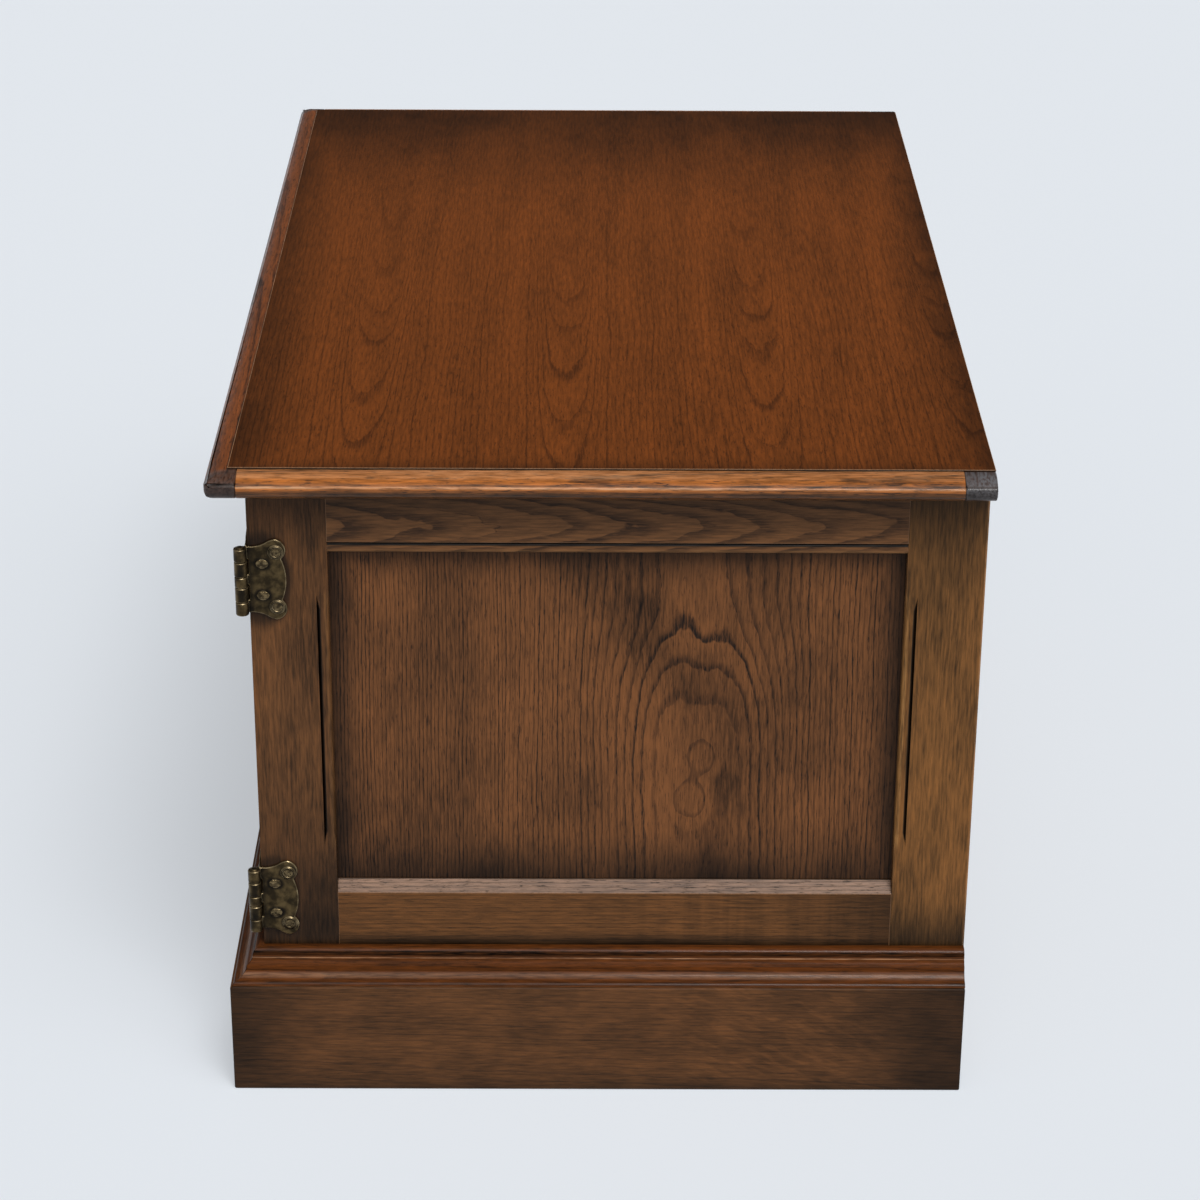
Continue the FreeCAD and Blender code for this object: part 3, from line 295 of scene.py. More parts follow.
# Depths under the face where a bead is cut, and places across from the bead's crest.
CUT_START, CUT_FOOT = (0.0, 0.0006), (0.0045, 0.0065)
# How far the painted shade of a quirk and the painted highlight of a bead reach across from the crest.
QUIRK_SHADE_LIMITS, QUIRK_SHADE, BEAD_HIGHLIGHT_LIMITS = (-0.0011, -0.0004), 1.25, (-0.0014, -0.0007)
BEAD_RUNOUT = 0.004


def bead_masks(tree, spot, axis, face, across, crest, towards, along, first, last, highlight_strength):
    """Painted shade in the quirk beside a bead, and a painted highlight, with a little wear, on the bead's
    other flank.
    A bead has the axis and place of its face, the axis and place of its crest, the side that its quirk is on,
    the axis and ends of its stretch, and the strength of its highlight."""
    axes = split(tree, spot)
    sunk = reckon(tree, "SUBTRACT", face, reckon(tree, "ABSOLUTE", axes[axis]))
    worked = reckon(tree, "MULTIPLY", fade(tree, sunk, *CUT_START), fade(tree, sunk, *CUT_FOOT, 1.0, 0.0))
    beyond = reckon(tree, "SUBTRACT", reckon(tree, "ABSOLUTE", axes[across]), crest)
    beyond = reckon(tree, "MULTIPLY", beyond, towards)
    quirk_shade = reckon(tree, "MULTIPLY", worked, fade(tree, beyond, *QUIRK_SHADE_LIMITS, 0.0, QUIRK_SHADE))
    rubbed_and_lit = reckon(tree, "MULTIPLY", stripe(tree, spot, along, first, last, BEAD_RUNOUT),
                    fade(tree, beyond, *BEAD_HIGHLIGHT_LIMITS, highlight_strength, 0.0))
    return quirk_shade, rubbed_and_lit


CAP_EDGE, CAP_FOOT, CAP_SEAM = 0.0003, 0.3, 0.7


def end_sheen_mask(tree, spot, past, heights, seam, strength):
    """A painted grey sheen on the sawn ends of a lipping past a place along it: fullest at the top, faint in
    the seam under it.
    """
    axes = split(tree, spot)
    beyond = fade(tree, reckon(tree, "ABSOLUTE", axes["X"]), past - CAP_EDGE, past + CAP_EDGE)
    capped = reckon(tree, "MULTIPLY", beyond, fade(tree, axes["Z"], *heights, CAP_FOOT * strength, strength))
    faint = stripe(tree, spot, "Z", *seam, CAP_EDGE, CAP_SEAM)
    return reckon(tree, "MULTIPLY", capped, reckon(tree, "SUBTRACT", 1.0, faint))


# Pale colours painted as highlights, with a little wear, along arrises, crests and bead flanks.
PAINTED_HIGHLIGHT = (0.60, 0.335, 0.175, 1)
BEAD_HIGHLIGHT = (0.50, 0.255, 0.085, 1)


def oak(name, turn, pale, dark, heart, ring=0.0035, rise=0.02, wander=0.004, pores=0.5, depth=0.85, band=0.3,
        unevenness=0.5, hair=1.2, gloss=0.1, coat=0.0, dullness=0.36, board=None, bulge=None, fleck=None,
        border=None, leaf_shadows=(), bead=None, shade_lines=(), highlights=(), matt=(), end_sheen=None, sheen_colour=None):
    """Stained oak: the figure of one kind of board under its stain and wax.
    Board, bulge, fleck and a depth that varies are functions of the place on the board. A border is made by
    edges(), the painted shadows are a row of leaves, and a bead and the painted sheen on a lipping's ends are
    read by their mask functions. Lines of painted shade, painted highlight and unpolished finish along a
    moulding are each an axis, two places, a softness and a strength."""
    material, tree, shader, given = bare_material(name)
    spot = given["Object"]
    angles = [math.radians(angle) for angle in GRAIN_TURNS[turn]]
    place = join(tree, "ShaderNodeMapping", {"Vector": spot, "Rotation": angles}).outputs[0]
    facing = join(tree, "ShaderNodeMapping", {"Vector": given["Normal"], "Rotation": angles}).outputs[0]
    figure = lay(tree, OAK_FIGURE, {
        "Board": board(tree, place) if board else place, "Heart": heart, "Ring": ring, "Rise": rise,
        "Wander": wander, "Bulge": bulge(tree, place) if bulge else 0.0, "Band": band, "Pores": pores})
    shade = lay(tree, SHADED_BORDER, {"Place": spot, **border})["Shade"] if border else 0.0
    for leaf in leaf_shadows:
        shade = reckon(tree, "MAXIMUM", shade, leaf_shadow(tree, spot, leaf))
    worn_and_lit_layers = []
    if bead:
        quirk_shade, rubbed_and_lit = bead_masks(tree, spot, *bead)
        shade = reckon(tree, "MAXIMUM", shade, quirk_shade)
        worn_and_lit_layers.append((rubbed_and_lit, BEAD_HIGHLIGHT))
    worn_and_lit_layers.extend((stripe(tree, spot, *line), PAINTED_HIGHLIGHT) for line in highlights)
    if end_sheen:
        worn_and_lit_layers.append((end_sheen_mask(tree, spot, *end_sheen), (*sheen_colour, 1)))
    paler = fleck(tree, place) if fleck else 0.0
    for line in shade_lines:
        paler = reckon(tree, "SUBTRACT", paler, stripe(tree, spot, *line))
    stained = lay(tree, STAIN, {
        "Pale": (*pale, 1), "Dark": (*dark, 1), "Line": figure["Line"], "Tone": figure["Tone"],
        "Fibre": figure["Fibre"], "Depth": depth(tree, place) if callable(depth) else depth,
        "Unevenness": unevenness, "Hair": hair, "Fleck": paler, "Shade": shade, "Dullness": dullness,
        "End Grain": reckon(tree, "ABSOLUTE", split(tree, facing)["X"])})
    colour = stained["Color"]
    broken = reckon(tree, "MULTIPLY", fade(tree, figure["Fibre"], 0.36, 0.60, 0.3, 1.0),
                    fade(tree, figure["Tone"], 0.34, 0.62, 0.55, 1.1))
    for share, finish in worn_and_lit_layers:
        colour = blend_colours(tree, reckon(tree, "MULTIPLY", share, broken), colour, finish)
    polish = coat
    for line in matt:
        waxed = reckon(tree, "SUBTRACT", 1.0, stripe(tree, spot, *line))
        polish = reckon(tree, "MULTIPLY", polish, waxed)
    grain = join(tree, "ShaderNodeBump", {"Height": stained["Height"], "Strength": 0.22, "Distance": 0.0004})
    fill(tree, shader.inputs, {
        "Base Color": colour, "Roughness": stained["Roughness"], "Normal": grain.outputs["Normal"],
        "Specular IOR Level": gloss, "Coat Weight": polish, "Coat Roughness": 0.12})
    return material


WELD = 1e-6
FLAT, SHARP = math.radians(0.3), math.radians(32)
SLOPE_LOW, SLOPE_HIGH = 0.3, 0.95


def soften(node, material, rubbed_and_lit=None, arris=0.0, segments=2, lit_slope=None):
    """A CAD piece with its edges eased; a paler finish paints wear and highlight there, and another its
    upward slopes as lit.
    """
    source = frame["nodes"][node]
    mesh = source.data.copy()
    mesh.materials.clear()
    for finish in (material, rubbed_and_lit, lit_slope):
        if finish:
            mesh.materials.append(finish)
    work = bmesh.new()
    work.from_mesh(mesh)
    bmesh.ops.remove_doubles(work, verts=work.verts, dist=WELD)
    bmesh.ops.dissolve_limit(work, angle_limit=FLAT, verts=work.verts, edges=work.edges)
    for face in work.faces:
        face.material_index = 2 if lit_slope and SLOPE_LOW < face.normal.z < SLOPE_HIGH else 0
        face.smooth = True
    work.to_mesh(mesh)
    work.free()
    mesh.set_sharp_from_angle(angle=SHARP)
    piece = bpy.data.objects.new(f"{node}_finished", mesh)
    bpy.context.collection.objects.link(piece)
    if arris:
        rounding = piece.modifiers.new("arris", "BEVEL")
        rounding.width = arris
        rounding.segments = segments
        rounding.limit_method = "ANGLE"
        rounding.angle_limit = SHARP
        rounding.use_clamp_overlap = False
        rounding.material = 1 if rubbed_and_lit else 0
    leaning = piece.modifiers.new("flat_faces_stay_flat", "WEIGHTED_NORMAL")
    leaning.weight = 100
    leaning.keep_sharp = True
    graph = bpy.context.evaluated_depsgraph_get()
    piece.data = bpy.data.meshes.new_from_object(piece.evaluated_get(graph), depsgraph=graph)
    piece.modifiers.clear()
    low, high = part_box(node)
    for vertex in piece.data.vertices:
        vertex.co = [min(max(place, least), most) for place, least, most in zip(vertex.co, low, high)]
    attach(piece, source["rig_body"])
    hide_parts(node)


FAR, OPEN = 10.0, 1e-4


def edges(**sides):
    """A shaded border: each named side, such as low_z, has its place and how far in its shade reaches."""
    border = {"Low": [-FAR] * 3, "High": [FAR] * 3, "Low Reach": [OPEN] * 3, "High Reach": [OPEN] * 3}
    for side, (place, reach) in sides.items():
        end, axis = side.title().split("_")
        border[end]["XYZ".index(axis)] = place
        border[f"{end} Reach"]["XYZ".index(axis)] = reach
    return border


def patchy_wax(tree, place):
    """Soft patches where the wax was rubbed thinner or thicker."""
    return fade(tree, mottle(tree, place, (15, 42, 42), 3.0), 0.30, 0.70, -0.8, 0.8)


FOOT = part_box("bottom_board")[1][2]
STILE_SHADE = 0.475
BEAD_CREST = 0.0037
BEAD_STOP = 0.0285
BEAD_STRETCH = (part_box("right_bottom_rail")[1][2] + BEAD_STOP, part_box("right_top_rail")[0][2] - BEAD_STOP)
STILE_LOOK = dict(turn="upright, on an end", ring=0.0026, pores=0.9, depth=0.36, hair=2.2, fleck=patchy_wax)
# Both stiles are painted darker toward the top, partly as shadow under the top's overhang, and toward the
# foot.
# Their quirks take painted shade, and each hinge leaf a dark oval of painted shadow round it.
front_stile_oak = oak(
    "front_stile_oak", pale=(0.106, 0.045, 0.0165), dark=(0.026, 0.014, 0.008), heart=(0, 0.06, -0.30),
    rise=0.03, wander=0.014, leaf_shadows=("right_upper_end_leaf", "right_lower_end_leaf"),
    bead=("X", END_FACE, "Y", BEAD_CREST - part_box("right_front_stile")[1][1], 1, "Z", *BEAD_STRETCH, 0.12),
    border=edges(low_z=(FOOT + 0.01, 0.15), high_z=(STILE_SHADE, 0.15)), **STILE_LOOK)
# The back stile's bead and rear arris are painted paler than the front's, as highlight where the light falls.
back_stile_oak = oak(
    "back_stile_oak", pale=(0.150, 0.065, 0.0195), dark=(0.044, 0.023, 0.010), heart=(0, 0.05, -0.31),
    rise=0.012, wander=0.010, unevenness=0.6, highlights=(("Y", 0.2441, 0.2470, 0.0003, 0.4),),
    bead=("X", END_FACE, "Y", BEAD_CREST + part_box("right_back_stile")[0][1], 1, "Z", *BEAD_STRETCH, 0.38),
    border=edges(low_z=(FOOT, 0.05), high_z=(STILE_SHADE, 0.17)), **STILE_LOOK)
for hand in HANDS:
    soften(f"{hand}_front_stile", front_stile_oak)
    soften(f"{hand}_back_stile", back_stile_oak)

# The rails of the two ends
# Solid oak cut across from stile to stile: the upper one beaded and flame-figured, the lower one sloped.
# Their tenons are glued into the stiles; their arrises are painted paler, as wear and highlight, and the
# slope as lit.
FRAME_ARRIS = 0.00035
# Paler oak for eased arrises: painted highlight, with a little wear.
rubbed_lit_oak = oak(
    "rubbed_lit_oak", "upright, on an end", (0.190, 0.092, 0.040), (0.075, 0.040, 0.022),
    heart=(0, 0, -0.2), ring=0.003, wander=0.006, pores=0.4, depth=0.5, gloss=0.4)
# The upper rail is painted darker toward the top, as shadow under the top's overhang; its quirk takes painted
# shade.
end_top_rail_oak = oak(
    "end_top_rail_oak", "front to back, on an end", (0.150, 0.066, 0.026), (0.022, 0.013, 0.009),
    heart=(0, 0.408, END_FACE - 0.02), ring=0.0036, rise=0.09, wander=0.014, pores=0.25, band=0.7, hair=1.6,
    bead=("X", END_FACE, "Z", BEAD_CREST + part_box("right_top_rail")[0][2], 1, "Y", -FAR, FAR, 0.16),
    border=edges(high_z=(0.455, 0.08)))


def cross_bands(tree, place):
    """Faint bands across the grain, where the fibres of a board ripple, towards one end of it."""
    bands = fade(tree, mottle(tree, place, (95, 4, 4)), 0.36, 0.64, -0.5, 0.4)
    return reckon(tree, "MULTIPLY", bands, fade(tree, split(tree, place)["X"], -0.03, 0.07))


PLAIN_PALE, PLAIN_DARK = (0.122, 0.050, 0.016), (0.034, 0.018, 0.009)
LOW_RAIL_LOOK = dict(
    turn="front to back, on an end", heart=(0, 0.25, 0.30), ring=0.0028, rise=0.006, wander=0.005, hair=1.6)
end_bottom_rail_oak = oak(
    "end_bottom_rail_oak", pale=PLAIN_PALE, dark=PLAIN_DARK, pores=0.6, depth=0.7, fleck=cross_bands,
    border=edges(low_z=(FOOT, 0.014), high_y=(0.235, 0.17)), **LOW_RAIL_LOOK)
# A paler oak for the lower rail's upward slope, painted as lit from above.
lit_slope_oak = oak(
    "lit_slope_oak", pale=(0.205, 0.126, 0.087), dark=(0.035, 0.026, 0.020), pores=1.0, depth=0.9,
    unevenness=0.8, **LOW_RAIL_LOOK)
for hand in HANDS:
    soften(f"{hand}_top_rail", end_top_rail_oak, rubbed_lit_oak, FRAME_ARRIS)
    soften(f"{hand}_bottom_rail", end_bottom_rail_oak, rubbed_lit_oak, FRAME_ARRIS, lit_slope=lit_slope_oak)

# The panels of the two ends
# Thin boards faced with oak veneer, loose in the grooves of their frames; the grain stands upright, and
# they are darker along their edges. The right-hand panel has a cathedral figure and two small eyes.
EYES = ((0.2388, 0.0675, 0.0085), (0.2075, 0.0600, 0.0100))
EYE_RISE = 0.0036
CLOUDS = ((0.385, -0.005, 0.042), (0.340, 0.022, 0.030), (0.296, 0.066, 0.024), (0.215, 0.083, 0.013))
FACE_STRETCH = (0.75, 1, 0)


def apart_on_face(tree, place, height, across):
    """How far a place on a panel is from a spot on its face."""
    gap = reckon_vector(tree, "SUBTRACT", place, (height, across, 0))
    return reckon_vector(tree, "LENGTH", reckon_vector(tree, "MULTIPLY", gap, FACE_STRETCH))


PANEL_RISE = 0.115
CROWN, CROWN_EASE = 0.268, 0.04
ARCHES, ARCH_EASE, ARCH_WIDTH, PLAIN_CLIMB = 0.075, 0.03, (0.02, 0.085), 0.15
FLAT_WIDTH, FLAT_DROP = 0.026, 0.0019


def panel_growth(middle, eyes):
    """How the rings of a panel depart from plain cones: they climb in one stretch near the middle only, where
    they close in arches, and swell round small knots, each with its height, its place across and its size."""

    def swelling(tree, place):
        axes = split(tree, place)
        climb = reckon(tree, "SMOOTH_MAX", reckon(tree, "SUBTRACT", axes["X"], CROWN), 0.0, CROWN_EASE)
        climb = reckon(tree, "SMOOTH_MIN", climb, ARCHES, ARCH_EASE)
        aside = reckon(tree, "ABSOLUTE", reckon(tree, "SUBTRACT", axes["Y"], middle))
        climb = reckon(tree, "MULTIPLY", climb, fade(tree, aside, *ARCH_WIDTH, 1.0, PLAIN_CLIMB))
        total = reckon(tree, "MULTIPLY", reckon(tree, "SUBTRACT", climb, axes["X"]), PANEL_RISE)
        total = reckon(tree, "SUBTRACT", total, fade(tree, aside, 0.0, FLAT_WIDTH, 0.0, FLAT_DROP))
        for height, across, size in eyes:
            far = apart_on_face(tree, place, height, across)
            total = reckon(tree, "MULTIPLY_ADD", fade(tree, far, 0.0, 2.0 * size, 1.0, 0.0), EYE_RISE, total)
        return total

    return swelling


RAGGED = 0.02


def glaze_clouds(spots):
    """Patches where the glaze was left thick, each with its height, its place across and its size."""

    def patches(tree, place):
        thick = fade(tree, mottle(tree, place, (9, 14, 14)), 0.34, 0.68, 0.7, -0.9)
        ragged = reckon(tree, "MULTIPLY_ADD", mottle(tree, place, (70, 110, 110)), RAGGED, -RAGGED / 2)
        for height, across, size in spots:
            far = reckon(tree, "ADD", apart_on_face(tree, place, height, across), ragged)
            thick = reckon(tree, "ADD", thick, fade(tree, far, 0.25 * size, size, -1.1, 0.0))
        return thick

    return patches


PANEL_SEAM, LEAF_ASIDE, LEAF_ALONG = -0.062, -0.09, 0.4


def two_leaves(tree, place):
    """Board axes that step away from the heart past the seam between a panel's two leaves of veneer."""
    axes = split(tree, place)
    past = reckon(tree, "LESS_THAN", axes["Y"], PANEL_SEAM)
    across = reckon(tree, "MULTIPLY_ADD", past, LEAF_ASIDE, axes["Y"])
    along = reckon(tree, "MULTIPLY_ADD", past, LEAF_ALONG, axes["X"])
    return combine(tree, X=along, Y=across, Z=axes["Z"])


GROOVE = 0.008
PANEL_LOW_REACH, PANEL_SIDE_REACH, PANEL_HIGH_REACH = 0.06, 0.03, 0.055


def panel_border(node, axis, aside, below, above):
    """The dark border of a panel inside its frame, each side set back behind the frame by its amount."""
    low, high = (corner["xyz".index(axis)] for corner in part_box(node))
    foot, head = (corner[2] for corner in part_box(node))
    return edges(**{
        f"low_{axis}": (low + GROOVE - aside, PANEL_SIDE_REACH),
        f"high_{axis}": (high - GROOVE + aside, PANEL_SIDE_REACH),
        "low_z": (foot + GROOVE - below, PANEL_LOW_REACH),
        "high_z": (head - GROOVE + above, PANEL_HIGH_REACH)})


HEART_DEPTH = 0.105
PANEL_LOOK = dict(
    pale=(0.137, 0.0535, 0.0188), dark=(0.008, 0.0065, 0.0055), ring=0.0024, rise=PANEL_RISE, wander=0.007,
    depth=0.98, band=0.38, unevenness=0.7, hair=1.8)
for hand, side, heart_across, eyes, clouds in (
        ("right", -1, 0.063, EYES, CLOUDS), ("left", 1, -0.03, (), ())):
    node = f"{hand}_end_panel"
    panel_oak = oak(
        f"{hand}_panel_oak", "upright, on an end", heart=(0, heart_across, side * (END_FACE - HEART_DEPTH)),
        border=panel_border(node, "y", 0.0, 0.006, 0.014), bulge=panel_growth(heart_across, eyes),
        board=two_leaves, fleck=glaze_clouds(clouds), **PANEL_LOOK)
    soften(node, panel_oak, rubbed_lit_oak, FRAME_ARRIS)

# The boards inside
# Rails on the flat that tie the ends, the bottom, the back and the shelf: plain boards, stained once and
# not polished. The shelf lies loose on four turned pegs.
BOARD_ARRIS, BACK_ARRIS, PEG_ARRIS = 0.0006, 0.0003, 0.0004
inner_oak = oak(
    "inner_oak", "lengthwise, flat", (0.25, 0.145, 0.075), (0.11, 0.062, 0.034),
    heart=(0, 0.04, -0.5), ring=0.0045, rise=0.015, wander=0.012, pores=0.35, depth=0.6, gloss=0.15)
back_oak = oak(
    "back_oak", "lengthwise, on the front", (0.27, 0.16, 0.085), (0.13, 0.075, 0.042),
    heart=(0, -0.2, -0.3), ring=0.0055, wander=0.016, pores=0.3, depth=0.6, gloss=0.12)
beech = oak(
    "beech", "front to back, on an end", (0.46, 0.28, 0.15), (0.36, 0.20, 0.10),
    heart=(0, 0.2, 0.2), ring=0.002, wander=0.003, pores=0.1, depth=0.4, gloss=0.2)
front_rail_oak = oak(
    "front_rail_oak", "lengthwise, on the front", PLAIN_PALE, PLAIN_DARK,
    heart=(0, 0.30, -0.12), ring=0.0030, rise=0.01, wander=0.006, depth=0.7, hair=1.6)
soften("front_top_rail", front_rail_oak, rubbed_lit_oak, BOARD_ARRIS)
for node in ("back_top_rail", "bottom_board", "shelf"):
    soften(node, inner_oak, rubbed_lit_oak, BOARD_ARRIS)
soften("back_panel", back_oak, rubbed_lit_oak, BACK_ARRIS)
soften("shelf_pegs", beech, arris=PEG_ARRIS)

# The plinth
# Oak boards planted round the foot of the carcass and mitred at the front, with a plain rail and glue
# blocks behind. Their lower corners are knocked round by use.
PLINTH_ARRIS, BLOCK_ARRIS = 0.0012, 0.0008
RAY_TILT = math.radians(24)


def ray_flecks(tree, place):
    """Pale curved flecks where the cut runs nearly along the rays, in one stretch of the board."""
    along = split(tree, place)["X"]
    tilted = join(tree, "ShaderNodeMapping", {"Vector": place, "Rotation": (0, 0, RAY_TILT)}).outputs[0]
    strokes = fade(tree, mottle(tree, tilted, (45, 190, 60)), 0.50, 0.66)
    stretch = reckon(tree, "MULTIPLY", fade(tree, along, 0.02, 0.09), fade(tree, along, 0.16, 0.22, 1.0, 0.0))
    cloud = fade(tree, mottle(tree, place, (28, 45, 45), 3.0), 0.32, 0.70, -0.6, 0.8)
    return reckon(tree, "MULTIPLY_ADD", strokes, stretch, cloud)


PLINTH_LOOK = dict(pale=(0.092, 0.038, 0.0135), dark=(0.034, 0.017, 0.009), ring=0.0030, wander=0.008)
plinth_end_oak = oak(
    "plinth_end_oak", "front to back, on an end", heart=(0, -0.05, 0.28), pores=0.6, depth=0.6,
    unevenness=0.35, hair=1.6, fleck=ray_flecks,
    border=edges(low_y=(-0.265, 0.11), high_y=(0.275, 0.2), low_z=(-0.008, 0.03)), **PLINTH_LOOK)
plinth_front_oak = oak(
    "plinth_front_oak", "lengthwise, on the front", heart=(0, 0.06, -0.14), pores=0.55, depth=0.65,
    unevenness=0.6, **PLINTH_LOOK)
for hand in HANDS:
    soften(f"plinth_{hand}", plinth_end_oak, arris=PLINTH_ARRIS, segments=3)
soften("plinth_front", plinth_front_oak, arris=PLINTH_ARRIS, segments=3)
soften("plinth_back", inner_oak, rubbed_lit_oak, BOARD_ARRIS)
soften("plinth_blocks", inner_oak, rubbed_lit_oak, BLOCK_ARRIS)

# The base moulding
# Lengths of run oak moulding, mitred at the front corners and glued on the plinth; polished brighter than
# the frames. Its hollows are left matt; painted shade and painted highlights run in lines along it.
MOULDING_ARRIS = 0.0004
# Dark lines of painted shade lie in its hollows and creases; pale lines of painted highlight run on its
# rounds and arrises.
MOULDING_LOOK = dict(
    pale=(0.086, 0.025, 0.0050), dark=(0.018, 0.008, 0.004), ring=0.0032, rise=0.015, wander=0.006, pores=0.6,
    depth=0.7, unevenness=0.9, hair=1.8, gloss=0.03, coat=0.22, dullness=0.4,
    shade_lines=(("Z", 0.0964, 0.0994, 0.0004, 2.2), ("Z", 0.0873, 0.0882, 0.0003, 0.5),
            ("Z", 0.0812, 0.0826, 0.0003, 1.0)),
    highlights=(("Z", 0.0944, 0.0951, 0.0002, 0.4), ("Z", 0.0790, 0.0803, 0.0001, 0.4),
          ("Z", 0.0840, 0.0862, 0.0008, 0.16)),
    matt=(("Z", 0.0873, 0.0943, 0.0004, 0.9), ("Z", 0.0960, 0.0994, 0.0004, 0.9)))
end_moulding_oak = oak(
    "end_moulding_oak", "front to back, on an end", heart=(0, 0.0, 0.32), **MOULDING_LOOK)
front_moulding_oak = oak(
    "front_moulding_oak", "lengthwise, on the front", heart=(0, 0.0, -0.15), **MOULDING_LOOK)
for hand in HANDS:
    soften(f"base_moulding_{hand}", end_moulding_oak, arris=MOULDING_ARRIS)
soften("base_moulding_front", front_moulding_oak, arris=MOULDING_ARRIS)

# The top
# A board faced with slip-matched leaves of oak veneer, so that one figure comes again and again across it,
# lipped all round in solid oak with a thumb moulding. It is the glossiest part.
VENEER_LEAF, VENEER_START = 0.1315, -0.2195
VENEER_SLIP, VENEER_DEEPER = 0.011, 0.004


def veneer_leaves(tree, place):
    """Board axes that start again at each leaf of veneer, and slip a little along it."""
    axes = split(tree, place)
    leaves = reckon(tree, "DIVIDE", reckon(tree, "SUBTRACT", axes["Y"], VENEER_START), VENEER_LEAF)
    leaf = reckon(tree, "FLOOR", leaves)
    aside = reckon(tree, "SUBTRACT", reckon(tree, "FRACT", leaves), 0.5)
    across = reckon(tree, "MULTIPLY", aside, VENEER_LEAF)
    along = reckon(tree, "MULTIPLY_ADD", leaf, VENEER_SLIP, axes["X"])
    deep = reckon(tree, "MULTIPLY_ADD", leaf, VENEER_DEEPER, axes["Z"])
    return combine(tree, X=along, Y=across, Z=deep)


VENEER_RISE, VENEER_END = 0.036, 0.44
VENEER_ARCH = (0.010, 0.028)


def veneer_growth(tree, place):
    """Rings that climb near the middle of a leaf only, so that their arches are narrow and end round."""
    axes = split(tree, veneer_leaves(tree, place))
    arched = fade(tree, reckon(tree, "ABSOLUTE", axes["Y"]), *VENEER_ARCH, VENEER_RISE, 0.1 * VENEER_RISE)
    climb = reckon(tree, "MULTIPLY", reckon(tree, "SUBTRACT", axes["X"], VENEER_END), arched)
    return reckon(tree, "MULTIPLY_ADD", axes["X"], -VENEER_RISE, climb)


def plainer_far(tree, place):
    """Figure that grows stronger along the board."""
    return fade(tree, split(tree, place)["X"], -0.3, 0.3, 0.2, 0.62)


veneer_low, veneer_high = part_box("top_board")
# The top is painted darker toward its far end, as a falloff of light, and a little darker along its other
# edges.
top_veneer = oak(
    "top_veneer", "lengthwise, flat", (0.160, 0.043, 0.0078), (0.026, 0.010, 0.0045),
    heart=(0, 0.0, veneer_high[2] - 0.05), ring=0.0031, rise=VENEER_RISE, wander=0.007, pores=0.8,
    depth=plainer_far, unevenness=0.8, hair=1.5, gloss=0.05, coat=0.03, board=veneer_leaves,
    bulge=veneer_growth, border=edges(
        low_x=(veneer_low[0] - 0.06, 0.42), high_x=(veneer_high[0] + 0.02, 0.05),
        low_y=(veneer_low[1] - 0.025, 0.09), high_y=(veneer_high[1] + 0.02, 0.08)))
# The lippings take painted highlights on the thumb and at its crease, and a painted dark line between them.
LIP_LINE = (0.4438, 0.4448)
LIP_HIGHLIGHTS = (("Z", 0.4469, 0.4600, 0.0008, 0.35), ("Z", 0.4424, 0.4437, 0.0003, 0.7))
LIPPING_LOOK = dict(
    ring=0.0030, rise=0.012, wander=0.005, pores=0.9, depth=1.0, unevenness=1.1, hair=2.4, coat=0.3,
    dullness=0.3, shade_lines=(("Z", *LIP_LINE, 0.0003, 1.4),))
LIP_ROUND, LIP_UNDER = 0.0058, 0.0035
LIP_LAP, LIP_QUIRK, LIP_END = 0.0004, 0.002, 0.005


def lip_shade(node, axis):
    """A border dark along a lipping's ends, as stained end grain, and as painted shade along its lower edge
    and in the quirk where it meets the veneer.
    """
    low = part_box(node)[0]
    index = "xyz".index(axis)
    sides = {"low_z": (low[2] + LIP_ROUND, LIP_UNDER)}
    if axis == "y":
        sides["low_x"] = (veneer_low[0] - LIP_END, LIP_END)
        sides["high_x"] = (veneer_high[0] + LIP_END, LIP_END)
    if low[index] > 0:
        sides[f"low_{axis}"] = (veneer_high[index] - LIP_LAP, LIP_QUIRK)
    else:
        sides[f"high_{axis}"] = (veneer_low[index] + LIP_LAP, LIP_QUIRK)
    return edges(**sides)


TOP_ARRIS, LIP_ARRIS = 0.0005, 0.0009
# Paler oak for the top's eased arrises, painted as a highlight along its edges.
veneer_arris_highlight = oak(
    "veneer_arris_highlight", "lengthwise, flat", (0.30, 0.155, 0.075), (0.14, 0.07, 0.035),
    heart=(0, 0, 0.3), ring=0.003, depth=0.5)
soften("top_board", top_veneer, veneer_arris_highlight, TOP_ARRIS)
for hand in HANDS:
    node = f"top_{hand}_lipping"
    end_lipping_oak = oak(
        f"{hand}_lipping_oak", "front to back, on an end", (0.34, 0.108, 0.022), (0.055, 0.021, 0.008),
        heart=(0, 0.3, 0.32), border=lip_shade(node, "x"), highlights=LIP_HIGHLIGHTS, **LIPPING_LOOK)
    soften(node, end_lipping_oak, arris=TOP_ARRIS)
# The long lippings' sawn ends take a painted grey sheen, less toward their foot and faint in the line under
# the thumb.
CAP_START, CAP_HEIGHTS = veneer_high[0] + 0.0003, (0.4375, 0.4475)
for place, sheen_colour, strength in (
        ("front", (0.140, 0.092, 0.078), 0.6), ("back", (0.112, 0.109, 0.114), 1.0)):
    node = f"top_{place}_lipping"
    long_lipping_oak = oak(
        f"{place}_lipping_oak", "lengthwise, on the front", (0.18, 0.050, 0.011), (0.045, 0.016, 0.007),
        heart=(0, -0.3, -0.15), border=lip_shade(node, "y"), sheen_colour=sheen_colour,
        end_sheen=(CAP_START, CAP_HEIGHTS, LIP_LINE, strength), **LIPPING_LOOK)
    soften(node, long_lipping_oak, arris=LIP_ARRIS, segments=3)

# The doors
# A framed and panelled pair made as the ends are, their hinge stiles mitred to the corners of the carcass.
# Their panels have the veneer of the ends with a plainer figure.
DOOR_FACE = -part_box("right_door_meeting_stile")[0][1]
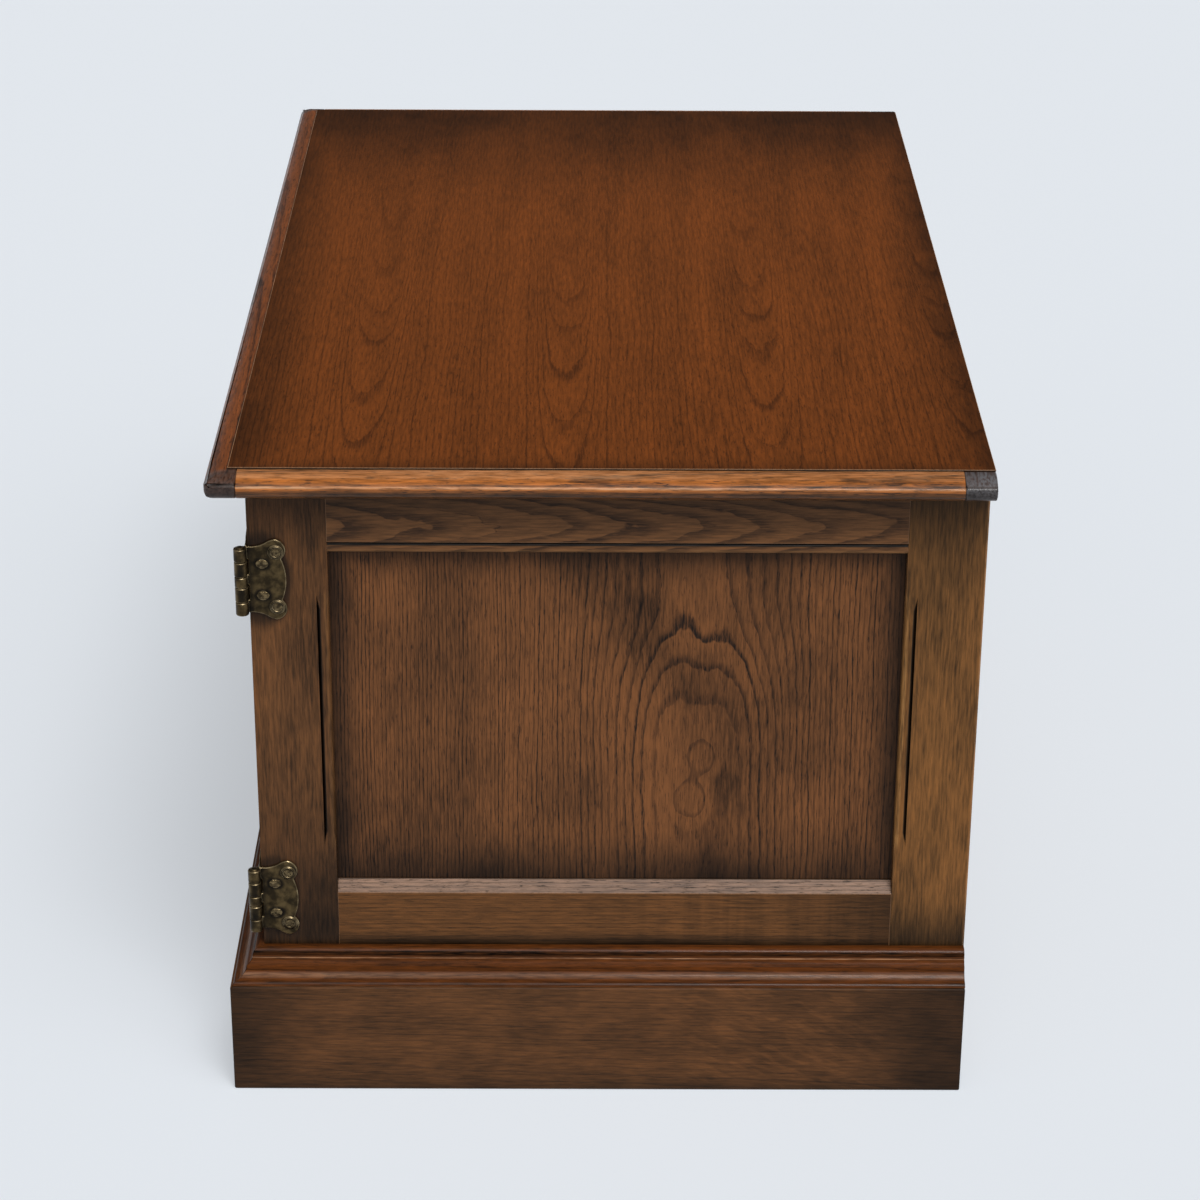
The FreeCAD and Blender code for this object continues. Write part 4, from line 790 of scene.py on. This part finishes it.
# The beads of the door stiles and rails take painted shade in their quirks and a painted highlight on the
# bead.
door_stile_oaks = {}
for place, crest, towards in (
        ("hinge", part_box("right_door_hinge_stile")[0][0] + BEAD_CREST, 1),
        ("meeting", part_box("right_door_meeting_stile")[1][0] - BEAD_CREST, -1)):
    door_stile_oaks[place] = oak(
        f"door_{place}_stile_oak", "upright, on the front", (0.128, 0.055, 0.020), (0.036, 0.019, 0.010),
        heart=(0, 0.10, -0.12), ring=0.0028, rise=0.010, wander=0.006, pores=0.35, depth=0.6,
        bead=("Y", DOOR_FACE, "X", crest, towards, "Z", *BEAD_STRETCH, 0.15))
door_rail_oak = oak(
    "door_rail_oak", "lengthwise, on the front", (0.125, 0.054, 0.020), (0.034, 0.018, 0.010),
    heart=(0, -0.20, -0.14), ring=0.0034, rise=0.03, wander=0.010, pores=0.3, depth=0.7,
    bead=("Y", DOOR_FACE, "Z", BEAD_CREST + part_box("right_door_top_rail")[0][2], 1, "X", -FAR, FAR, 0.15))
for hand, heart_across in (("right", 0.20), ("left", -0.17)):
    node = f"{hand}_door_panel"
    door_panel_oak = oak(
        f"{hand}_door_panel_oak", "upright, on the front",
        heart=(0, heart_across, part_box(node)[0][1] + HEART_DEPTH),
        border=panel_border(node, "x", 0.012, 0.012, 0.02), bulge=panel_growth(heart_across, ()),
        fleck=glaze_clouds(()), **PANEL_LOOK)
    soften(node, door_panel_oak, rubbed_lit_oak, FRAME_ARRIS)
    for place in ("hinge", "meeting"):
        soften(f"{hand}_door_{place}_stile", door_stile_oaks[place])
    for place in ("top", "bottom"):
        soften(f"{hand}_door_{place}_rail", door_rail_oak, rubbed_lit_oak, FRAME_ARRIS)

# The butterfly hinges
# Cast brass leaves rolled into knuckles, browned by the maker; their edges are painted bright as wear and
# highlight.
# Each turns on a pin riveted over at both ends.
SCREW_HEAD = 0.0026
KNUCKLE = 0.0042


def screw_places(node, axis, side):
    """Where each screw of a CAD node has the middle of its head, on the given side of it along an axis.
    They are sorted by place, because a set hands out vertices in a new order each run."""
    work = bmesh.new()
    work.from_mesh(frame["nodes"][node].data)
    waiting = set(work.verts)
    places = []
    while waiting:
        edge = [waiting.pop()]
        found = list(edge)
        while edge:
            near = [other for link in edge.pop().link_edges for other in link.verts if other in waiting]
            waiting.difference_update(near)
            edge.extend(near)
            found.extend(near)
        spots = [vert.co for vert in found]
        middle = Vector([(min(s[i] for s in spots) + max(s[i] for s in spots)) / 2 for i in range(3)])
        facing = side if side else math.copysign(1, middle[axis])
        middle[axis] = facing * max(facing * s[axis] for s in spots)
        places.append((middle, facing))
    work.free()
    return sorted(places, key=lambda found: tuple(found[0]))


def leaf_grime_and_shade(node, axis, side, across):
    """Wax left dark round the screws of a hinge's leaves, and painted shade beside their knuckles."""
    low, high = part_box("right_hinge_pins")
    pin = abs(low[across] + high[across]) / 2
    places = screw_places(node, axis, side)
    spots = {(round(abs(place[across]), 4), round(place[2], 4)) for place, facing in places}

    def grime_and_shade_mask(tree, spot):
        axes = split(tree, spot)
        reach = reckon(tree, "ABSOLUTE", axes[across])
        face = combine(tree, X=reach, Z=axes["Z"])
        beside = reckon(tree, "ABSOLUTE", reckon(tree, "SUBTRACT", reach, pin))
        thick = reckon(tree, "MULTIPLY", fade(tree, beside, 0.7 * KNUCKLE, KNUCKLE),
                       fade(tree, beside, KNUCKLE, 2.4 * KNUCKLE, 0.85, 0.0))
        for place, height in sorted(spots):
            far = reckon_vector(tree, "LENGTH", reckon_vector(tree, "SUBTRACT", face, (place, 0, height)))
            ring = fade(tree, far, 1.2 * SCREW_HEAD, 2.2 * SCREW_HEAD, 0.9, 0.0)
            thick = reckon(tree, "MAXIMUM", thick, ring)
        return thick

    return grime_and_shade_mask


# Dark wax round the screws, and painted shade beside the knuckles.
GRIME_AND_SHADE = (0.007, 0.0055, 0.004, 1)
GRIT = (900, 900, 900)


def brass(name, pale, dark, roughness, patch, grime_and_shade=None):
    """Browned brass: clouded, and darker where a mask of dirt and painted shade lies."""
    material, tree, shader, given = bare_material(name)
    cloud = fade(tree, mottle(tree, given["Object"], (patch, patch, patch), 4.0), 0.34, 0.70)
    colour = blend_colours(tree, cloud, (*dark, 1), (*pale, 1))
    if grime_and_shade:
        colour = blend_colours(tree, grime_and_shade(tree, given["Object"]), colour, GRIME_AND_SHADE)
    grit = join(tree, "ShaderNodeBump", {
        "Height": mottle(tree, given["Object"], GRIT, 3.0), "Strength": 0.18, "Distance": 0.0003})
    fill(tree, shader.inputs, {
        "Base Color": colour, "Roughness": fade(tree, cloud, 0.0, 1.0, roughness + 0.14, roughness),
        "Normal": grit.outputs["Normal"], "Metallic": 0.9})
    return material


LEAF_ARRIS, PIN_ARRIS = 0.0006, 0.0003
BROWNED = ((0.108, 0.073, 0.031), (0.024, 0.0165, 0.0075), 0.34, 150)
browned_brass = brass("browned_brass", *BROWNED)
leaf_brasses = {
    "end": brass("end_leaf_brass", *BROWNED, leaf_grime_and_shade("end_hinge_screws", 0, 0, 1)),
    "door": brass("door_leaf_brass", *BROWNED, leaf_grime_and_shade("right_door_screws", 1, -1, 0)),
}
# Brass for eased edges, painted bright as wear and highlight.
rubbed_lit_brass = brass("rubbed_lit_brass", (0.34, 0.26, 0.145), (0.09, 0.066, 0.034), 0.25, 150)
for hand in HANDS:
    for level in ("upper", "lower"):
        for side in ("end", "door"):
            soften(f"{hand}_{level}_{side}_leaf", leaf_brasses[side], rubbed_lit_brass, LEAF_ARRIS)
    soften(f"{hand}_hinge_pins", browned_brass, rubbed_lit_brass, PIN_ARRIS)

# The screws of the hinges and pulls
# Turned brass with a slot across a low dome, driven down flush so that each slot stops where it will.
# One tree makes them all, from a mark for each that has an arrow outward.
SCREW = {"Head Radius": SCREW_HEAD, "Dome": 0.0007, "Shank Radius": 0.0013, "Length": 0.0065,
         "Slot Width": 0.0008, "Slot Depth": 0.0006}
HEAD_SIDES, HEAD_RINGS, SHANK_SIDES = 32, 16, 16
FIRST_SEED = 3


def make_screws():
    """A tree that sets a slotted screw at each point, facing along the point's outward arrow."""
    tree = bpy.data.node_groups.new("slotted_screws", "GeometryNodeTree")
    tree.interface.new_socket("Geometry", in_out="OUTPUT", socket_type="NodeSocketGeometry")
    tree.interface.new_socket("Geometry", in_out="INPUT", socket_type="NodeSocketGeometry")
    for label in SCREW:
        tree.interface.new_socket(label, in_out="INPUT", socket_type=NUMBER)
    tree.interface.new_socket("Seed", in_out="INPUT", socket_type="NodeSocketInt")
    tree.interface.new_socket("Material", in_out="INPUT", socket_type="NodeSocketMaterial")
    given = tree.nodes.new("NodeGroupInput").outputs
    made = tree.nodes.new("NodeGroupOutput").inputs

    def raised(node, height):
        return join(tree, "GeometryNodeTransform", {
            "Geometry": node.outputs["Mesh"], "Translation": combine(tree, Z=height)}).outputs["Geometry"]

    head, shaft = given["Head Radius"], given["Shank Radius"]
    ball = join(tree, "GeometryNodeMeshUVSphere", {
        "Segments": HEAD_SIDES, "Rings": HEAD_RINGS, "Radius": head})
    axes = split(tree, tree.nodes.new("GeometryNodeInputPosition").outputs[0])
    flat = reckon(tree, "DIVIDE", given["Dome"], head)
    height = reckon(tree, "MULTIPLY", reckon(tree, "MAXIMUM", axes["Z"], 0.0), flat)
    dome = join(tree, "GeometryNodeSetPosition", {
        "Geometry": ball.outputs["Mesh"], "Position": combine(tree, X=axes["X"], Y=axes["Y"], Z=height)})
    slot = join(tree, "GeometryNodeMeshCube", {"Size": combine(
        tree, X=reckon(tree, "MULTIPLY", head, 2.2), Y=given["Slot Width"],
        Z=reckon(tree, "MULTIPLY", given["Slot Depth"], 2.0))})
    slotted = join(tree, "GeometryNodeMeshBoolean", {}, operation="DIFFERENCE")
    fill(tree, slotted.inputs, {"Mesh 1": dome.outputs["Geometry"], "Mesh 2": raised(slot, given["Dome"])})
    taper = reckon(tree, "SUBTRACT", head, shaft)
    cone = join(tree, "GeometryNodeMeshCone", {
        "Vertices": HEAD_SIDES, "Radius Top": head, "Radius Bottom": shaft, "Depth": taper})
    sunk = reckon(tree, "MULTIPLY", taper, -1.0)
    length = reckon(tree, "SUBTRACT", given["Length"], taper)
    shank = join(tree, "GeometryNodeMeshCylinder", {
        "Vertices": SHANK_SIDES, "Radius": shaft, "Depth": length})
    below = reckon(tree, "SUBTRACT", reckon(tree, "MULTIPLY", length, -0.5), taper)
    screw = tree.nodes.new("GeometryNodeJoinGeometry")
    for piece in (slotted.outputs["Mesh"], raised(cone, sunk), raised(shank, below)):
        tree.links.new(piece, screw.inputs["Geometry"])
    outward = join(tree, "GeometryNodeInputNamedAttribute", {"Name": "outward"}, data_type="FLOAT_VECTOR")
    facing = join(tree, "FunctionNodeAlignRotationToVector", {
        "Vector": outward.outputs["Attribute"]}, axis="Z")
    chance = join(tree, "FunctionNodeRandomValue", {}, data_type="FLOAT")
    fill(tree, in_use(chance.inputs), {"Max": math.tau, "Seed": given["Seed"]})
    spin = join(tree, "FunctionNodeAxisAngleToRotation", {
        "Axis": (0, 0, 1), "Angle": in_use(chance.outputs)["Value"]})
    turned = join(tree, "FunctionNodeRotateRotation", {
        "Rotation": facing.outputs[0], "Rotate By": spin.outputs[0]}, rotation_space="LOCAL")
    points = join(tree, "GeometryNodeMeshToPoints", {"Mesh": given["Geometry"]})
    set_out = join(tree, "GeometryNodeInstanceOnPoints", {
        "Points": points.outputs["Points"], "Instance": screw.outputs["Geometry"],
        "Rotation": turned.outputs[0]})
    real = join(tree, "GeometryNodeRealizeInstances", {"Geometry": set_out.outputs["Instances"]})
    finished = join(tree, "GeometryNodeSetMaterial", {
        "Geometry": real.outputs["Geometry"], "Material": given["Material"]})
    fill(tree, made, {"Geometry": finished.outputs["Geometry"]})
    return tree


SCREWS = make_screws()
SCREW_INPUTS = {item.name: item.identifier for item in SCREWS.interface.items_tree if item.in_out == "INPUT"}
screw_brass = brass("screw_brass", (0.20, 0.145, 0.072), (0.040, 0.028, 0.014), 0.22, 380)
for seed, (node, axis, side) in enumerate((
        ("end_hinge_screws", 0, 0), ("right_door_screws", 1, -1), ("left_door_screws", 1, -1)), FIRST_SEED):
    places = screw_places(node, axis, side)
    marks = bpy.data.meshes.new(f"{node}_marks")
    marks.from_pydata([place for place, facing in places], [], [])
    arrows = marks.attributes.new("outward", "FLOAT_VECTOR", "POINT")
    for arrow, (place, facing) in zip(arrows.data, places):
        arrow.vector = [facing if index == axis else 0.0 for index in range(3)]
    screws = bpy.data.objects.new(f"{node}_slotted", marks)
    bpy.context.collection.objects.link(screws)
    driven = screws.modifiers.new("screws", "NODES")
    driven.node_group = SCREWS
    for label, value in {**SCREW, "Seed": seed, "Material": screw_brass}.items():
        driven[SCREW_INPUTS[label]] = value
    graph = bpy.context.evaluated_depsgraph_get()
    screws.data = bpy.data.meshes.new_from_object(screws.evaluated_get(graph), depsgraph=graph)
    screws.modifiers.clear()
    screws.data.shade_smooth()
    screws.data.set_sharp_from_angle(angle=SHARP)
    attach(screws, frame["nodes"][node]["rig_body"])
    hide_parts(node)

# The drop pulls, the catch and the hidden screws
# A cast plate with a fork, and a turned pear that swings in it; a moulded catch with steel strike plates.
# Steel and plastic are plain and a little scuffed.
PLATE_ARRIS, DROP_ARRIS, STEEL_ARRIS, CATCH_ARRIS = 0.0004, 0.0003, 0.0002, 0.0008
# The pulls' eased edges are painted bright, as wear and highlight.
for hand in HANDS:
    soften(f"{hand}_pull_plate", browned_brass, rubbed_lit_brass, PLATE_ARRIS)
    soften(f"{hand}_pull_drop", browned_brass, rubbed_lit_brass, DROP_ARRIS)


def steel_or_plastic(name, colour, metallic, roughness):
    """A plain made surface with the faint scuffs of handling."""
    material, tree, shader, given = bare_material(name)
    scuff = mottle(tree, given["Object"], (260, 900, 900), 3.0)
    scuffed = [0.75 * part for part in colour]
    fill(tree, shader.inputs, {
        "Base Color": blend_colours(tree, fade(tree, scuff, 0.4, 0.7), (*colour, 1), (*scuffed, 1)),
        "Roughness": fade(tree, scuff, 0.3, 0.7, roughness, roughness + 0.15), "Metallic": metallic})
    return material


zinc = steel_or_plastic("zinc_plate", (0.55, 0.54, 0.52), 1.0, 0.3)
catch_plastic = steel_or_plastic("catch_plastic", (0.075, 0.042, 0.026), 0.0, 0.42)
for node in ("carcass_screws", "right_strike_plate", "left_strike_plate"):
    soften(node, zinc, arris=STEEL_ARRIS)
soften("magnetic_catch", catch_plastic, arris=CATCH_ARRIS)

# The studio
# A wide pale floor under soft light from above and from the right, with a camera where the photograph's was.
# The floor glows a little, so that it stays as even as the photograph's ground.
FLOOR_HALF = 150.0
floor_mesh = bpy.data.meshes.new("floor")
corners = [(x * FLOOR_HALF, y * FLOOR_HALF, 0) for x, y in ((-1, -1), (1, -1), (1, 1), (-1, 1))]
floor_mesh.from_pydata(corners, [], [(0, 1, 2, 3)])
floor = bpy.data.objects.new("floor", floor_mesh)
bpy.context.collection.objects.link(floor)
paper, tree, shader, given = bare_material("paper")
fill(tree, shader.inputs, {
    "Base Color": (0.377, 0.396, 0.419, 1), "Roughness": 1.0, "Specular IOR Level": 0.0,
    "Emission Color": (0.753, 0.791, 0.838, 1), "Emission Strength": 0.525})
floor_mesh.materials.append(paper)

scene = bpy.context.scene
scene.view_settings.view_transform = "Standard"
world = bpy.data.worlds.new("studio")
scene.world = world
world.use_nodes = True
tree = world.node_tree
backdrop = next(node for node in tree.nodes if node.type == "BACKGROUND")
LIGHT_FROM = Vector((0.50, 0.21, 0.84)).normalized()
SKY_SIDES, SKY_LEVELS = (-0.3, 0.5), (0.11, 0.42)
# Each soft box has the angle where its glow starts, the angle where it is full, and its brightness.
SOFT_BOXES = ((34, 16, 2.2), (13, 8, 12.0))
sky = tree.nodes.new("ShaderNodeTexCoord").outputs["Generated"]
strength = fade(tree, split(tree, sky)["X"], *SKY_SIDES, *SKY_LEVELS)
lined_up = reckon_vector(tree, "DOT_PRODUCT", sky, LIGHT_FROM)
for edge, full, brightness in SOFT_BOXES:
    glow = fade(tree, lined_up, math.cos(math.radians(edge)), math.cos(math.radians(full)))
    strength = reckon(tree, "MULTIPLY_ADD", glow, brightness, strength)
fill(tree, backdrop.inputs, {"Color": (1, 1, 1, 1), "Strength": strength})

CAMERA_PLACE = (2.2918, -0.0103, 1.2624)
PITCH, YAW, ROLL = (math.radians(angle) for angle in (25.265, 0.31, 0.331))
SENSOR_WIDTH, FOCAL_LENGTH = 36.0, 100.07
ahead = Vector((-math.cos(PITCH) * math.cos(YAW), math.cos(PITCH) * math.sin(YAW), -math.sin(PITCH)))
level_right = Vector((math.sin(YAW), math.cos(YAW), 0))
level_up = level_right.cross(ahead)
right = level_right * math.cos(ROLL) + level_up * math.sin(ROLL)
up = level_up * math.cos(ROLL) - level_right * math.sin(ROLL)
lens = bpy.data.cameras.new("camera")
lens.sensor_width = SENSOR_WIDTH
lens.lens = FOCAL_LENGTH
camera = bpy.data.objects.new("camera", lens)
bpy.context.collection.objects.link(camera)
turned = Matrix((right, up, -ahead)).transposed()
camera.matrix_world = Matrix.Translation(CAMERA_PLACE) @ turned.to_4x4()
scene.camera = camera
